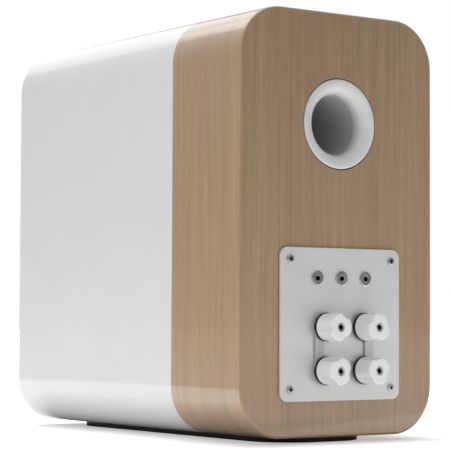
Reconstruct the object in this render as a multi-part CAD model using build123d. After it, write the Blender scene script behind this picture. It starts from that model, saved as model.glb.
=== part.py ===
from build123d import *
import math
import os

# Two-way bookshelf loudspeaker with a rear port, bi-wire terminals and level sockets.
# Millimetres. +Z is up, the front faces -Y, and the back with its terminals faces +Y.
# The origin is at floor level, in the middle of the overall width and depth.

# Cabinet
CABINET_WIDTH = 201.0
CABINET_HEIGHT = 350.0
CABINET_DEPTH = 361.0
CORNER_RADIUS = 40.0
WALL = 12.0
BASE_GAP = 5.0
VENEERED_DEPTH = 98.5
BAFFLE_THICKNESS = 18.0
REAR_PANEL_THICKNESS = 16.0
FRONT_EDGE_RADIUS = 3.0
REAR_EDGE_RADIUS = 2.2
GLUE_LINE = 0.1

# What stands proud of the cabinet, in front and behind
TRIM_PROUD = 2.0
POST_PROUD = 25.2

# Reference planes along Y
REAR_Y = (CABINET_DEPTH + TRIM_PROUD - POST_PROUD) / 2
FRONT_Y = REAR_Y - CABINET_DEPTH
SEAM_Y = REAR_Y - VENEERED_DEPTH
MIDDLE_Z = BASE_GAP + CABINET_HEIGHT / 2
INNER_WIDTH = CABINET_WIDTH - 2 * WALL
INNER_HEIGHT = CABINET_HEIGHT - 2 * WALL
INNER_RADIUS = CORNER_RADIUS - WALL

# Joining collar and brace
COLLAR_WIDTH = 12.0
COLLAR_DEPTH = 30.0
BRACE_Z = 206.0
BRACE_THICKNESS = 12.0
BRACE_WINDOW_WIDTH = 132.0
BRACE_WINDOW_MARGIN = 28.0

# Reflex port
PORT_Z = 262.6
PORT_RIM_RADIUS = 37.2
PORT_THROAT_RADIUS = 25.0
PORT_TUBE_WALL = 2.5
PORT_LIP = 0.7
PORT_FLARE_DEPTH = 9.0
PORT_SEAT_DEPTH = 3.0
PORT_SOCKET_START = 12.0
PORT_SOCKET_END = 24.0
PORT_SOCKET_RADIUS = 30.5
PORT_TUBE_END = 150.0
PORT_MOUTH_RADIUS = 35.0
PORT_MOUTH_DEPTH = 11.0

# Terminal plate
PLATE_WIDTH = 125.0
PLATE_HEIGHT = 125.0
PLATE_Z = 97.2
PLATE_CORNER = 7.5
PLATE_THICKNESS = 1.8
PLATE_GASKET = 0.5
PLATE_SCREW_SPACING = 105.6
CUTOUT_WIDTH = 86.0
CUTOUT_HEIGHT = 94.0
CUTOUT_CORNER = 8.0

# Binding posts and their links, with heights counted outwards from the rear face
POST_CENTRE = -2.2
POST_X = 20.2
POST_Z = (59.3, 94.9)
STUD_RADIUS = 3.0
STUD_INSIDE = 24.0
STUD_RECESS = 0.5
PLUG_BORE_RADIUS = 2.05
PLUG_BORE_DEPTH = 16.0
INSULATOR_RADIUS = 10.0
INSULATOR_NECK = 5.4
LINK_THICKNESS = 1.5
LINK_LEG_WIDTH = 8.8
LINK_EYE_RADIUS = 10.3
WASHER_RADIUS = 11.7
WASHER_THICKNESS = 2.2
CAP_RADIUS = 11.25
FLUTE_RADIUS = 12.0
FLUTE_BITE = 2.0
FLUTE_START = 7.5
CAP_TURNS = {"1": 60.0, "2": 20.0, "3": 110.0, "4": 100.0}
RUNNING_CLEARANCE = 0.05

# Level sockets
SOCKET_Z = 134.9
SOCKET_PITCH = 25.2
SOCKET_FLANGE_RADIUS = 6.2
SOCKET_BODY_RADIUS = 4.0
SOCKET_LENGTH = 14.0
SOCKET_BORE_DEPTH = 12.0

# Base under the cabinet
BASE_WIDTH = 104.0
BASE_LENGTH = 326.0
BASE_CORNER = 38.0
BASE_REAR_INSET = 16.0
SOLE_THICKNESS = 1.2
BASE_THICKNESS = 2.8
ISOLATOR_X = 34.0
ISOLATOR_Y = 110.0

# Woofer, with depths counted inwards from the front face
WOOFER_Z = 118.0
WOOFER_FLANGE_RADIUS = 82.0
WOOFER_REBATE = 5.5
WOOFER_HOLE_RADIUS = 72.0
WOOFER_SCREW_CIRCLE = 76.5
SURROUND_OUTER = 62.5
SURROUND_INNER = 50.5
SURROUND_PLANE = 5.0
SURROUND_THICKNESS = 0.8
CONE_NECK_RADIUS = 15.6
CONE_NECK_DEPTH = 27.0
CONE_THICKNESS = 0.8
DUST_CAP_RADIUS = 18.0
DUST_CAP_HEIGHT = 6.0
DUST_CAP_DEPTH = 23.2
MAGNET_FRONT = 50.0

# Tweeter, with depths counted inwards from the front face
TWEETER_Z = 272.0
TWEETER_PLATE_RADIUS = 52.0
TWEETER_PLATE_THICKNESS = 4.0
TWEETER_HOLE_RADIUS = 38.0
TWEETER_SCREW_CIRCLE = 45.0
DOME_RADIUS = 14.0
DOME_HEIGHT = 6.0
DOME_PLANE = 7.0

# Crossover, on the studs of the terminal plate
BOARD_WIDTH = 80.0
BOARD_HEIGHT = 88.0
BOARD_THICKNESS = 1.6
BOARD_FACE = 18.0

CABLE_RADIUS = 2.0

# Heights of the stacked post parts, outwards from the rear face
PLATE_FACE = PLATE_GASKET + PLATE_THICKNESS
INSULATOR_FACE = PLATE_FACE + 0.8
LINK_FACE = INSULATOR_FACE + LINK_THICKNESS
WASHER_FACE = LINK_FACE + WASHER_THICKNESS
POSTS = {
    "1": (POST_CENTRE + POST_X, POST_Z[1]),
    "2": (POST_CENTRE - POST_X, POST_Z[1]),
    "3": (POST_CENTRE + POST_X, POST_Z[0]),
    "4": (POST_CENTRE - POST_X, POST_Z[0]),
}
SOCKETS = [(step * SOCKET_PITCH, SOCKET_Z) for step in (-1, 0, 1)]


def slab(outline, start, end):
    """Extrude an outline drawn in X and Z between two places along Y."""
    plane = Plane(origin=(0, start, 0), x_dir=(1, 0, 0), z_dir=(0, -1, 0))
    return extrude(plane * outline, amount=start - end)


def rounded(width, height, radius, z=0.0, x=0.0):
    """A rounded rectangle in X and Z."""
    return Pos(x, z) * RectangleRounded(width, height, radius)


def disc(radius, start, end, x=0.0, z=0.0):
    """A round bar along Y."""
    return slab(Pos(x, z) * Circle(radius), start, end)


def ring(outer, inner, start, end, x=0.0, z=0.0):
    """A round tube along Y."""
    return slab(Pos(x, z) * (Circle(outer) - Circle(inner)), start, end)


def turned(edges, z=0.0, x=0.0):
    """Turn a closed outline of radius and Y about an axis along Y."""
    return Pos(x, 0, z) * revolve(make_face(edges), Axis.Y)


def turned_points(points, z=0.0, x=0.0):
    """Turn a polygon of radius and Y about an axis along Y."""
    return turned(Polyline(*points, close=True), z, x)


def front(points):
    """Change radius and depth behind the front face into radius and Y."""
    return [(radius, FRONT_Y + depth) for radius, depth in points]


def around(count, radius, first=0.0):
    """Places evenly spaced round a circle."""
    turns = [math.radians(first + 360.0 * step / count) for step in range(count)]
    return [(radius * math.cos(turn), radius * math.sin(turn)) for turn in turns]


def hexagon(across_flats, x=0.0, z=0.0):
    """A hexagon with the given width across its flats."""
    return Pos(x, z) * RegularPolygon(across_flats / 2, 6, major_radius=False)


def cap_screw(x, z, seat, outward, shank_radius, length, head_radius, head_height, socket):
    """A button-head screw with a hexagon socket; its head stands outward from its seat."""
    head = disc(head_radius, min(seat, seat + outward * head_height),
                max(seat, seat + outward * head_height), x, z)
    rim = head.faces().sort_by(Axis.Y)[-1 if outward > 0 else 0].edges()
    head = fillet(rim, head_height * 0.45)
    socket_floor = seat + outward * head_height * 0.3
    mouth = seat + outward * (head_height + 1)
    head -= slab(hexagon(socket, x, z), min(socket_floor, mouth), max(socket_floor, mouth))
    tip = seat - outward * length
    return head + disc(shank_radius, min(seat, tip), max(seat, tip), x, z)


def group(solids):
    """Keep separate solids together in one node."""
    return Compound(children=list(solids))


def tube_along(points, radius):
    """A round tube along straight runs joined by tangent arcs."""
    corners = []
    for before, corner, after in zip(points, points[1:], points[2:]):
        run_in, run_out = Vector(*corner) - Vector(*before), Vector(*after) - Vector(*corner)
        half_turn = math.radians(run_in.get_angle(run_out)) / 2
        corners.append(0.45 * min(run_in.length, run_out.length) / math.tan(half_turn))
    path = FilletPolyline(*points, radius=corners)
    print("bend radii", [round(corner, 1) for corner in corners])
    return sweep(Plane(origin=path @ 0, z_dir=path % 0) * Circle(radius), path=path)


def corner_places(x, z, centre_z):
    """The four corners of a rectangle in X and Z."""
    return [(sx * x, centre_z + sz * z) for sz in (1, -1) for sx in (1, -1)]


PLATE_SCREWS = corner_places(PLATE_SCREW_SPACING / 2, PLATE_SCREW_SPACING / 2, PLATE_Z)
WOOFER_SCREWS = [(x, WOOFER_Z + z) for x, z in around(6, WOOFER_SCREW_CIRCLE, 30)]
TWEETER_SCREWS = [(x, TWEETER_Z + z) for x, z in around(4, TWEETER_SCREW_CIRCLE, 45)]
BASE_Y = REAR_Y - BASE_REAR_INSET - BASE_LENGTH / 2
ISOLATORS = [(sx * ISOLATOR_X, BASE_Y + sy * ISOLATOR_Y) for sx in (1, -1) for sy in (1, -1)]


def cabinet():
    """The two shells, the baffle, the collar that joins them and the brace."""
    outline = rounded(CABINET_WIDTH, CABINET_HEIGHT, CORNER_RADIUS, MIDDLE_Z)
    hollow = rounded(INNER_WIDTH, INNER_HEIGHT, INNER_RADIUS, MIDDLE_Z)

    front_shell = slab(outline, FRONT_Y, SEAM_Y)
    front_shell = fillet(front_shell.faces().sort_by(Axis.Y)[0].edges(), FRONT_EDGE_RADIUS)
    front_shell -= slab(hollow, FRONT_Y - 1, SEAM_Y + 1)

    rear_shell = slab(outline, SEAM_Y, REAR_Y)
    rear_shell = fillet(rear_shell.faces().sort_by(Axis.Y)[-1].edges(), REAR_EDGE_RADIUS)
    rear_shell -= slab(hollow, SEAM_Y - 1, REAR_Y - REAR_PANEL_THICKNESS)
    rear_shell -= disc(PORT_RIM_RADIUS + 0.5, REAR_Y - PORT_SEAT_DEPTH, REAR_Y + 1, z=PORT_Z)
    rear_shell -= disc(PORT_SOCKET_RADIUS + 0.3, REAR_Y - 30, REAR_Y + 1, z=PORT_Z)
    cutout = rounded(CUTOUT_WIDTH, CUTOUT_HEIGHT, CUTOUT_CORNER, PLATE_Z)
    rear_shell -= slab(cutout, REAR_Y - 30, REAR_Y + 1)
    for x, z in PLATE_SCREWS:
        rear_shell -= disc(1.8, REAR_Y - 13.5, REAR_Y + 1, x, z)

    pilots = [Pos(x, y, 0) * Cylinder(2.05, 28.0) for x, y in ISOLATORS]
    front_shell -= pilots
    rear_shell -= pilots

    fit_width, fit_height = INNER_WIDTH - 2 * GLUE_LINE, INNER_HEIGHT - 2 * GLUE_LINE
    fit_radius = INNER_RADIUS - GLUE_LINE
    baffle = slab(rounded(fit_width, fit_height, fit_radius, MIDDLE_Z),
                  FRONT_Y, FRONT_Y + BAFFLE_THICKNESS)
    baffle -= disc(WOOFER_FLANGE_RADIUS + 0.3, FRONT_Y - 1, FRONT_Y + WOOFER_REBATE, z=WOOFER_Z)
    baffle -= disc(WOOFER_HOLE_RADIUS, FRONT_Y, FRONT_Y + 30, z=WOOFER_Z)
    baffle -= disc(TWEETER_PLATE_RADIUS + 0.3, FRONT_Y - 1,
                   FRONT_Y + TWEETER_PLATE_THICKNESS, z=TWEETER_Z)
    baffle -= disc(TWEETER_HOLE_RADIUS, FRONT_Y, FRONT_Y + 30, z=TWEETER_Z)
    for x, z in WOOFER_SCREWS + TWEETER_SCREWS:
        baffle -= disc(2.05, FRONT_Y, FRONT_Y + 16.5, x, z)

    collar_outline = rounded(fit_width, fit_height, fit_radius, MIDDLE_Z)
    collar_hollow = rounded(fit_width - 2 * COLLAR_WIDTH, fit_height - 2 * COLLAR_WIDTH,
                            fit_radius - COLLAR_WIDTH / 2, MIDDLE_Z)
    collar = slab(collar_outline - collar_hollow,
                  SEAM_Y - COLLAR_DEPTH / 2, SEAM_Y + COLLAR_DEPTH / 2)

    brace_start = FRONT_Y + BAFFLE_THICKNESS + GLUE_LINE
    brace_end = SEAM_Y - COLLAR_DEPTH / 2 - GLUE_LINE
    brace_length = brace_end - brace_start
    brace_plan = Pos(0, brace_start + brace_length / 2) * Rectangle(fit_width, brace_length)
    brace_plan -= Pos(0, brace_start + brace_length / 2) * RectangleRounded(
        BRACE_WINDOW_WIDTH, brace_length - 2 * BRACE_WINDOW_MARGIN, 10)
    brace = Pos(0, 0, BRACE_Z) * extrude(brace_plan, amount=BRACE_THICKNESS)

    return {
        "front_cabinet_shell": front_shell,
        "rear_cabinet_shell": rear_shell,
        "front_baffle": baffle,
        "seam_collar": collar,
        "cabinet_brace": brace,
    }


def wadding():
    """A plain pad of wadding behind the tweeter, above the brace."""
    outline = rounded(160.0, 112.0, 22.0, 280.0)
    return {"acoustic_wadding": slab(outline, FRONT_Y + 72, FRONT_Y + 186)}


def port():
    """The white rear flare and the tube that carries the inner mouth."""
    rim, throat = PORT_RIM_RADIUS, PORT_THROAT_RADIUS
    lip_y, seat_y = REAR_Y + PORT_LIP, REAR_Y - PORT_SEAT_DEPTH + 0.1
    throat_y = REAR_Y - PORT_FLARE_DEPTH
    shoulder_y, end_y = REAR_Y - PORT_SOCKET_START, REAR_Y - PORT_SOCKET_END
    tube_radius = throat + PORT_TUBE_WALL
    crest = rim - 1.6
    mouth = EllipticalCenterArc((crest, throat_y), crest - throat, lip_y - throat_y,
                                start_angle=90, arc_size=90)
    flare = turned([
        mouth,
        Line(mouth @ 1, (throat, shoulder_y)),
        Polyline((throat, shoulder_y), (tube_radius + GLUE_LINE, shoulder_y),
                 (tube_radius + GLUE_LINE, end_y), (PORT_SOCKET_RADIUS, end_y),
                 (PORT_SOCKET_RADIUS, seat_y), (rim, seat_y), (rim, lip_y - 0.7)),
        ThreePointArc((rim, lip_y - 0.7), (rim - 0.35, lip_y - 0.15), mouth @ 0),
    ], PORT_Z)

    tube_end = REAR_Y - PORT_TUBE_END
    mouth_end = tube_end - PORT_MOUTH_DEPTH
    bell = PORT_MOUTH_RADIUS - throat
    inner_bell = EllipticalCenterArc((PORT_MOUTH_RADIUS, tube_end), bell, PORT_MOUTH_DEPTH,
                                     start_angle=180, arc_size=90)
    outer_bell = EllipticalCenterArc((PORT_MOUTH_RADIUS, tube_end), bell - PORT_TUBE_WALL,
                                     PORT_MOUTH_DEPTH - PORT_TUBE_WALL,
                                     start_angle=180, arc_size=90)
    start_y = shoulder_y - GLUE_LINE
    tube = turned([
        inner_bell,
        Line((throat, tube_end), (throat, start_y)),
        Line((throat, start_y), (tube_radius, start_y)),
        Line((tube_radius, start_y), (tube_radius, tube_end)),
        outer_bell,
        Line((PORT_MOUTH_RADIUS, mouth_end + PORT_TUBE_WALL), (PORT_MOUTH_RADIUS, mouth_end)),
    ], PORT_Z)
    return {"port_flare": flare, "port_tube": tube}


def terminal_plate():
    """The metal plate, its gasket and its four corner screws."""
    outline = rounded(PLATE_WIDTH, PLATE_HEIGHT, PLATE_CORNER, PLATE_Z)
    plate = slab(outline, REAR_Y + PLATE_GASKET, REAR_Y + PLATE_FACE)
    plate = chamfer(plate.faces().sort_by(Axis.Y)[-1].edges(), 0.3)
    gasket = slab(rounded(PLATE_WIDTH - 1.2, PLATE_HEIGHT - 1.2, PLATE_CORNER - 0.6, PLATE_Z)
                  - rounded(CUTOUT_WIDTH, CUTOUT_HEIGHT, CUTOUT_CORNER, PLATE_Z),
                  REAR_Y, REAR_Y + PLATE_GASKET)
    for x, z in PLATE_SCREWS:
        plate -= disc(2.0, REAR_Y, REAR_Y + 5, x, z)
        gasket -= disc(2.0, REAR_Y - 1, REAR_Y + 5, x, z)
    for x, z in POSTS.values():
        plate -= disc(INSULATOR_NECK + 0.1, REAR_Y, REAR_Y + 5, x, z)
    for x, z in SOCKETS:
        plate -= disc(SOCKET_BODY_RADIUS + 0.1, REAR_Y, REAR_Y + 5, x, z)
    screws = [cap_screw(x, z, REAR_Y + PLATE_FACE, 1, 1.75, 15.0, 3.3, 1.7, 2.5)
              for x, z in PLATE_SCREWS]
    return {
        "terminal_plate": plate,
        "terminal_gasket": gasket,
        "terminal_plate_screws": group(screws),
    }


def level_sockets():
    """Three small sockets for the level link, with their nuts."""
    face = REAR_Y + PLATE_FACE
    sockets, nuts = [], []
    for x, z in SOCKETS:
        socket = disc(SOCKET_FLANGE_RADIUS, face, face + 1.3, x, z)
        socket = fillet(socket.faces().sort_by(Axis.Y)[-1].edges(), 0.8)
        socket += disc(SOCKET_BODY_RADIUS, face - SOCKET_LENGTH, face, x, z)
        socket -= disc(PLUG_BORE_RADIUS, face + 1.3 - SOCKET_BORE_DEPTH, face + 3, x, z)
        sockets.append(socket)
        nuts.append(slab(hexagon(11.0, x, z) - Pos(x, z) * Circle(SOCKET_BODY_RADIUS + 0.1),
                         REAR_Y + PLATE_GASKET - 3.5, REAR_Y + PLATE_GASKET))
    return {"level_sockets": group(sockets), "level_socket_nuts": group(nuts)}


def post_hardware():
    """What stays put at the binding posts: studs, insulators, inner washers and nuts."""
    studs, insulators, washers, nuts = [], [], [], []
    back = REAR_Y + PLATE_GASKET
    for x, z in POSTS.values():
        stud_end = REAR_Y + POST_PROUD - STUD_RECESS
        stud = disc(STUD_RADIUS, REAR_Y - STUD_INSIDE, stud_end, x, z)
        stud -= disc(PLUG_BORE_RADIUS, stud_end - PLUG_BORE_DEPTH, stud_end + 1, x, z)
        studs.append(stud)
        bush = disc(INSULATOR_RADIUS, REAR_Y + PLATE_FACE, REAR_Y + INSULATOR_FACE, x, z)
        bush += disc(INSULATOR_NECK, back, REAR_Y + PLATE_FACE, x, z)
        insulators.append(bush - disc(STUD_RADIUS + 0.05, REAR_Y - 5, REAR_Y + 9, x, z))
        washers.append(ring(9.0, STUD_RADIUS + 0.05, back - 2.0, back, x, z))
        nut = hexagon(10.0, x, z) - Pos(x, z) * Circle(STUD_RADIUS + 0.05)
        nuts.append(slab(nut, back - 7.0, back - 2.0))
        board_back = REAR_Y - BOARD_FACE - BOARD_THICKNESS
        nuts.append(slab(nut, board_back - 3.0, board_back))
    return {
        "post_studs": group(studs),
        "post_insulators": group(insulators),
        "post_inner_washers": group(washers),
        "post_nuts": group(nuts),
    }


def link_straps():
    """Two flat links that join the upper and lower posts, with eyes open towards the middle."""
    straps = {}
    low, high = POST_Z
    leg_x = POST_X + LINK_EYE_RADIUS - LINK_LEG_WIDTH / 2
    for name, side in (("link_strap_left", 1), ("link_strap_right", -1)):
        post_x = POST_CENTRE + side * POST_X
        leg = POST_CENTRE + side * leg_x
        outline = Pos(leg, (low + high) / 2) * Rectangle(LINK_LEG_WIDTH, high - low)
        for z in POST_Z:
            outline += Pos(post_x, z) * Circle(LINK_EYE_RADIUS)
        for z in POST_Z:
            outline -= Pos(post_x, z) * Circle(STUD_RADIUS + 0.1)
            outline -= Pos(post_x - side * 8, z) * Rectangle(16, 2 * STUD_RADIUS + 0.2)
        straps[name] = slab(outline, REAR_Y + INSULATOR_FACE, REAR_Y + LINK_FACE)
    return straps


def post_caps():
    """Four screw caps with three finger flutes each, and the washer that each one pushes."""
    nodes = {}
    base, end = REAR_Y + WASHER_FACE, REAR_Y + POST_PROUD
    for number, (x, z) in POSTS.items():
        washer = ring(WASHER_RADIUS, STUD_RADIUS + RUNNING_CLEARANCE,
                      REAR_Y + LINK_FACE, base, x, z)
        cap = disc(CAP_RADIUS, base, end)
        cap = fillet(cap.faces().sort_by(Axis.Y)[-1].edges(), 1.2)
        for fx, fz in around(3, CAP_RADIUS + FLUTE_RADIUS - FLUTE_BITE, 180 - CAP_TURNS[number]):
            cap -= disc(FLUTE_RADIUS, base + FLUTE_START, end + 1, fx, fz)
            cap -= Pos(fx, base + FLUTE_START, fz) * Sphere(FLUTE_RADIUS).scale(0.999)
        cap -= disc(STUD_RADIUS + RUNNING_CLEARANCE, base - 1, end + 1)
        cap -= disc(STUD_RADIUS + 0.7, end - 3.0, end + 1)
        nodes["post_" + number + "_washer"] = washer
        nodes["post_" + number + "_cap"] = Pos(x, 0, z) * cap
    return nodes


def base():
    """The steel base plate, its rubber sole, and the isolators and screws that hold it."""
    plan = Pos(0, BASE_Y) * RectangleRounded(BASE_WIDTH, BASE_LENGTH, BASE_CORNER)
    sole = extrude(plan, amount=SOLE_THICKNESS)
    plate = Pos(0, 0, SOLE_THICKNESS) * extrude(plan, amount=BASE_THICKNESS)
    top = SOLE_THICKNESS + BASE_THICKNESS
    isolators, screws = [], []
    for x, y in ISOLATORS:
        place = Pos(x, y, 0)
        plate -= place * Pos(0, 0, SOLE_THICKNESS) * Cone(
            4.2, 2.3, BASE_THICKNESS, align=(Align.CENTER, Align.CENTER, Align.MIN))
        isolator = Pos(0, 0, top) * Cylinder(
            11.0, BASE_GAP - top, align=(Align.CENTER, Align.CENTER, Align.MIN))
        isolator -= Cylinder(2.3, 20)
        isolators.append(place * isolator)
        head = Pos(0, 0, SOLE_THICKNESS + 0.2) * Cone(
            3.9, 2.0, 2.2, align=(Align.CENTER, Align.CENTER, Align.MIN))
        head += Pos(0, 0, SOLE_THICKNESS + 0.2) * Cylinder(
            2.0, 12.0, align=(Align.CENTER, Align.CENTER, Align.MIN))
        screws.append(place * head)
    return {
        "base_sole": sole,
        "base_plate": plate,
        "base_isolators": group(isolators),
        "base_screws": group(screws),
    }


def woofer_frame():
    """The woofer's cast basket with six windows, its gasket, screws and trim ring."""
    flange = WOOFER_FLANGE_RADIUS
    basket = turned_points(front([
        (67.0, 0.0), (flange, 0.0), (flange, 4.0), (71.5, 4.0), (71.5, 14.0),
        (48.0, 46.0), (48.0, MAGNET_FRONT), (17.5, MAGNET_FRONT), (17.5, 46.0), (37.5, 46.0),
        (37.5, 40.0), (44.0, 40.0), (67.5, 14.0), (67.5, 8.0), (58.0, 8.0), (58.0, 5.8),
        (67.0, 5.8)]), WOOFER_Z)
    for x, z in around(6, 60.0, 0):
        direction = math.degrees(math.atan2(z, x))
        window = Pos(0, FRONT_Y + 28, WOOFER_Z) * Rot(0, -direction, 0) * Pos(57, 0, 0) * Box(36, 20, 38)
        basket -= window
    gasket = ring(81.5, WOOFER_HOLE_RADIUS + 0.5, FRONT_Y + 4.0, FRONT_Y + WOOFER_REBATE,
                  z=WOOFER_Z)
    trim = turned([
        Line(front([(67.2, 0.0)])[0], front([(82.0, 0.0)])[0]),
        Line(front([(82.0, 0.0)])[0], front([(82.0, -0.8)])[0]),
        ThreePointArc(front([(82.0, -0.8)])[0], front([(81.6, -1.6)])[0], front([(80.8, -2.0)])[0]),
        Line(front([(80.8, -2.0)])[0], front([(69.5, -2.0)])[0]),
        ThreePointArc(front([(69.5, -2.0)])[0], front([(67.9, -1.3)])[0], front([(67.2, 0.0)])[0]),
    ], WOOFER_Z)
    screws = []
    for x, z in WOOFER_SCREWS:
        for hole_radius, start, end in ((2.2, -1.0, 5.0), (3.8, -1.0, 2.2)):
            basket -= disc(hole_radius, FRONT_Y + start, FRONT_Y + end, x, z)
        gasket -= disc(2.2, FRONT_Y, FRONT_Y + 9, x, z)
        screws.append(cap_screw(x, z, FRONT_Y + 2.2, -1, 2.0, 14.0, 3.5, 2.0, 3.0))
    return {
        "woofer_basket": basket,
        "woofer_gasket": gasket,
        "woofer_trim_ring": trim,
        "woofer_screws": group(screws),
    }


def half_roll(outer, inner, plane, thickness, land_out, land_in):
    """The outline of a flexible half roll with flat lands; it bulges towards the front."""
    middle, radius = (outer + inner) / 2, (outer - inner) / 2
    near, far = FRONT_Y + plane, FRONT_Y + plane + thickness
    small = radius - thickness
    return [
        Polyline((inner - land_in, far), (inner - land_in, near), (inner, near)),
        ThreePointArc((inner, near), (middle, near - radius), (outer, near)),
        Polyline((outer, near), (outer + land_out, near), (outer + land_out, far),
                 (outer - thickness, far)),
        Line((outer - thickness, far), (outer - thickness, near)),
        ThreePointArc((outer - thickness, near), (middle, near - small), (inner + thickness, near)),
        Polyline((inner + thickness, near), (inner + thickness, far), (inner - land_in, far)),
    ]


def dome_shell(radius, height, rim_depth, thickness, z):
    """A thin spherical dome on an axis along Y, bulging towards the front from its rim."""
    rim_y, crown_y = FRONT_Y + rim_depth, FRONT_Y + rim_depth - height
    sphere = (radius**2 + height**2) / (2 * height)
    half_radius = radius / 2
    half_y = crown_y + sphere - math.sqrt(sphere**2 - half_radius**2)
    inner_rim = radius - thickness * sphere / (sphere - height)
    return turned([
        ThreePointArc((radius, rim_y), (half_radius, half_y), (0, crown_y)),
        Line((0, crown_y), (0, crown_y + thickness)),
        ThreePointArc((0, crown_y + thickness), (half_radius, half_y + thickness),
                      (inner_rim, rim_y)),
        Line((inner_rim, rim_y), (radius, rim_y)),
    ], z)


def woofer_moving():
    """The cone, its dust cap and voice coil, and the surround and spider that hold them."""
    edge = (SURROUND_INNER, FRONT_Y + SURROUND_PLANE + SURROUND_THICKNESS)
    back_edge = (SURROUND_INNER, edge[1] + CONE_THICKNESS)
    neck_y = FRONT_Y + CONE_NECK_DEPTH
    neck, back_neck = (CONE_NECK_RADIUS, neck_y), (CONE_NECK_RADIUS, neck_y + CONE_THICKNESS + 0.4)
    cone = turned([
        Line(edge, back_edge),
        ThreePointArc(back_edge, (34.5, FRONT_Y + 13.2), back_neck),
        Line(back_neck, neck),
        ThreePointArc(neck, (34.8, FRONT_Y + 12.2), edge),
    ], WOOFER_Z)

    dust_cap = dome_shell(DUST_CAP_RADIUS, DUST_CAP_HEIGHT, DUST_CAP_DEPTH, 0.6, WOOFER_Z)
    voice_coil = turned_points(front([
        (15.0, 25.0), (15.5, 25.0), (15.5, 48.0), (16.2, 48.0), (16.2, 58.0), (15.5, 58.0),
        (15.5, 60.0), (15.0, 60.0)]), WOOFER_Z)

    surround = turned(half_roll(SURROUND_OUTER, SURROUND_INNER, SURROUND_PLANE,
                                SURROUND_THICKNESS, 4.3, 3.6), WOOFER_Z)
    wave = [(15.7, 38.6), (20, 38.6), (22.5, 37.0), (25, 38.6), (27.5, 40.2), (30, 38.6),
            (32.5, 37.0), (35, 38.6), (37, 39.2), (43.5, 39.2)]
    spider_front = wave
    spider_back = [(radius, depth + 0.7) for radius, depth in reversed(wave)]
    spider = turned_points(front(spider_front + spider_back), WOOFER_Z)
    return {
        "woofer_cone": cone,
        "woofer_dust_cap": dust_cap,
        "woofer_voice_coil": voice_coil,
        "woofer_surround": surround,
        "woofer_spider": spider,
    }


def woofer_motor():
    """The woofer's top plate, ring magnet and vented yoke."""
    top, magnet_end = MAGNET_FRONT + 6.0, MAGNET_FRONT + 24.0
    yoke = turned_points(front([
        (4.0, MAGNET_FRONT), (14.4, MAGNET_FRONT), (14.4, magnet_end), (42.0, magnet_end),
        (42.0, magnet_end + 6.0), (4.0, magnet_end + 6.0)]), WOOFER_Z)
    return {
        "woofer_top_plate": ring(42.0, 16.7, FRONT_Y + MAGNET_FRONT, FRONT_Y + top, z=WOOFER_Z),
        "woofer_magnet": ring(50.0, 22.0, FRONT_Y + top, FRONT_Y + magnet_end, z=WOOFER_Z),
        "woofer_yoke": yoke,
    }


def tweeter():
    """The tweeter's faceplate, dome, surround, voice coil, motor and rear chamber."""
    thick = TWEETER_PLATE_THICKNESS
    throat, mouth, middle = 17.0, 33.0, 25.0
    flare = ((mouth - throat) ** 2 + thick**2) / (2 * thick)
    middle_y = FRONT_Y + flare - math.sqrt(flare**2 - (mouth - middle) ** 2)
    faceplate = turned([
        Polyline((throat, FRONT_Y + thick), (TWEETER_PLATE_RADIUS, FRONT_Y + thick),
                 (TWEETER_PLATE_RADIUS, FRONT_Y + 0.6), (TWEETER_PLATE_RADIUS - 0.6, FRONT_Y),
                 (mouth, FRONT_Y)),
        ThreePointArc((mouth, FRONT_Y), (middle, middle_y), (throat, FRONT_Y + thick)),
    ], TWEETER_Z)
    screws = []
    for x, z in TWEETER_SCREWS:
        for hole_radius, start, end in ((2.2, -1.0, 5.0), (3.8, -1.0, 2.2)):
            faceplate -= disc(hole_radius, FRONT_Y + start, FRONT_Y + end, x, z)
        screws.append(cap_screw(x, z, FRONT_Y + 2.2, -1, 2.0, 14.0, 3.5, 2.0, 3.0))

    dome = dome_shell(DOME_RADIUS, DOME_HEIGHT, DOME_PLANE, 0.4, TWEETER_Z)
    surround = turned(half_roll(18.2, DOME_RADIUS + 0.3, DOME_PLANE, 0.4, 5.0, 0.2), TWEETER_Z)
    voice_coil = turned_points(front([
        (13.6, 7.1), (14.0, 7.1), (14.0, 10.0), (14.35, 10.0), (14.35, 13.0), (13.6, 13.0)]),
        TWEETER_Z)
    chassis_y = DOME_PLANE + 0.4
    yoke = turned_points(front([
        (5.0, 9.4), (13.1, 9.4), (13.1, 23.4), (36.0, 23.4), (36.0, 27.4), (5.0, 27.4)]),
        TWEETER_Z)
    top_plate = turned_points(front([
        (14.8, 9.4), (18.6, 9.4), (18.6, chassis_y), (36.0, chassis_y), (36.0, 13.4),
        (14.8, 13.4)]), TWEETER_Z)
    chamber = turned_points(front([
        (29.0, 27.4), (31.5, 27.4), (31.5, 52.0), (28.5, 55.0), (0, 55.0), (0, 52.5),
        (27.5, 52.5), (29.0, 51.0)]), TWEETER_Z)
    return {
        "tweeter_faceplate": faceplate,
        "tweeter_screws": group(screws),
        "tweeter_dome": dome,
        "tweeter_surround": surround,
        "tweeter_voice_coil": voice_coil,
        "tweeter_top_plate": top_plate,
        "tweeter_magnet": ring(36.0, 20.0, FRONT_Y + 13.4, FRONT_Y + 23.4, z=TWEETER_Z),
        "tweeter_yoke": yoke,
        "tweeter_rear_chamber": chamber,
    }


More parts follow.
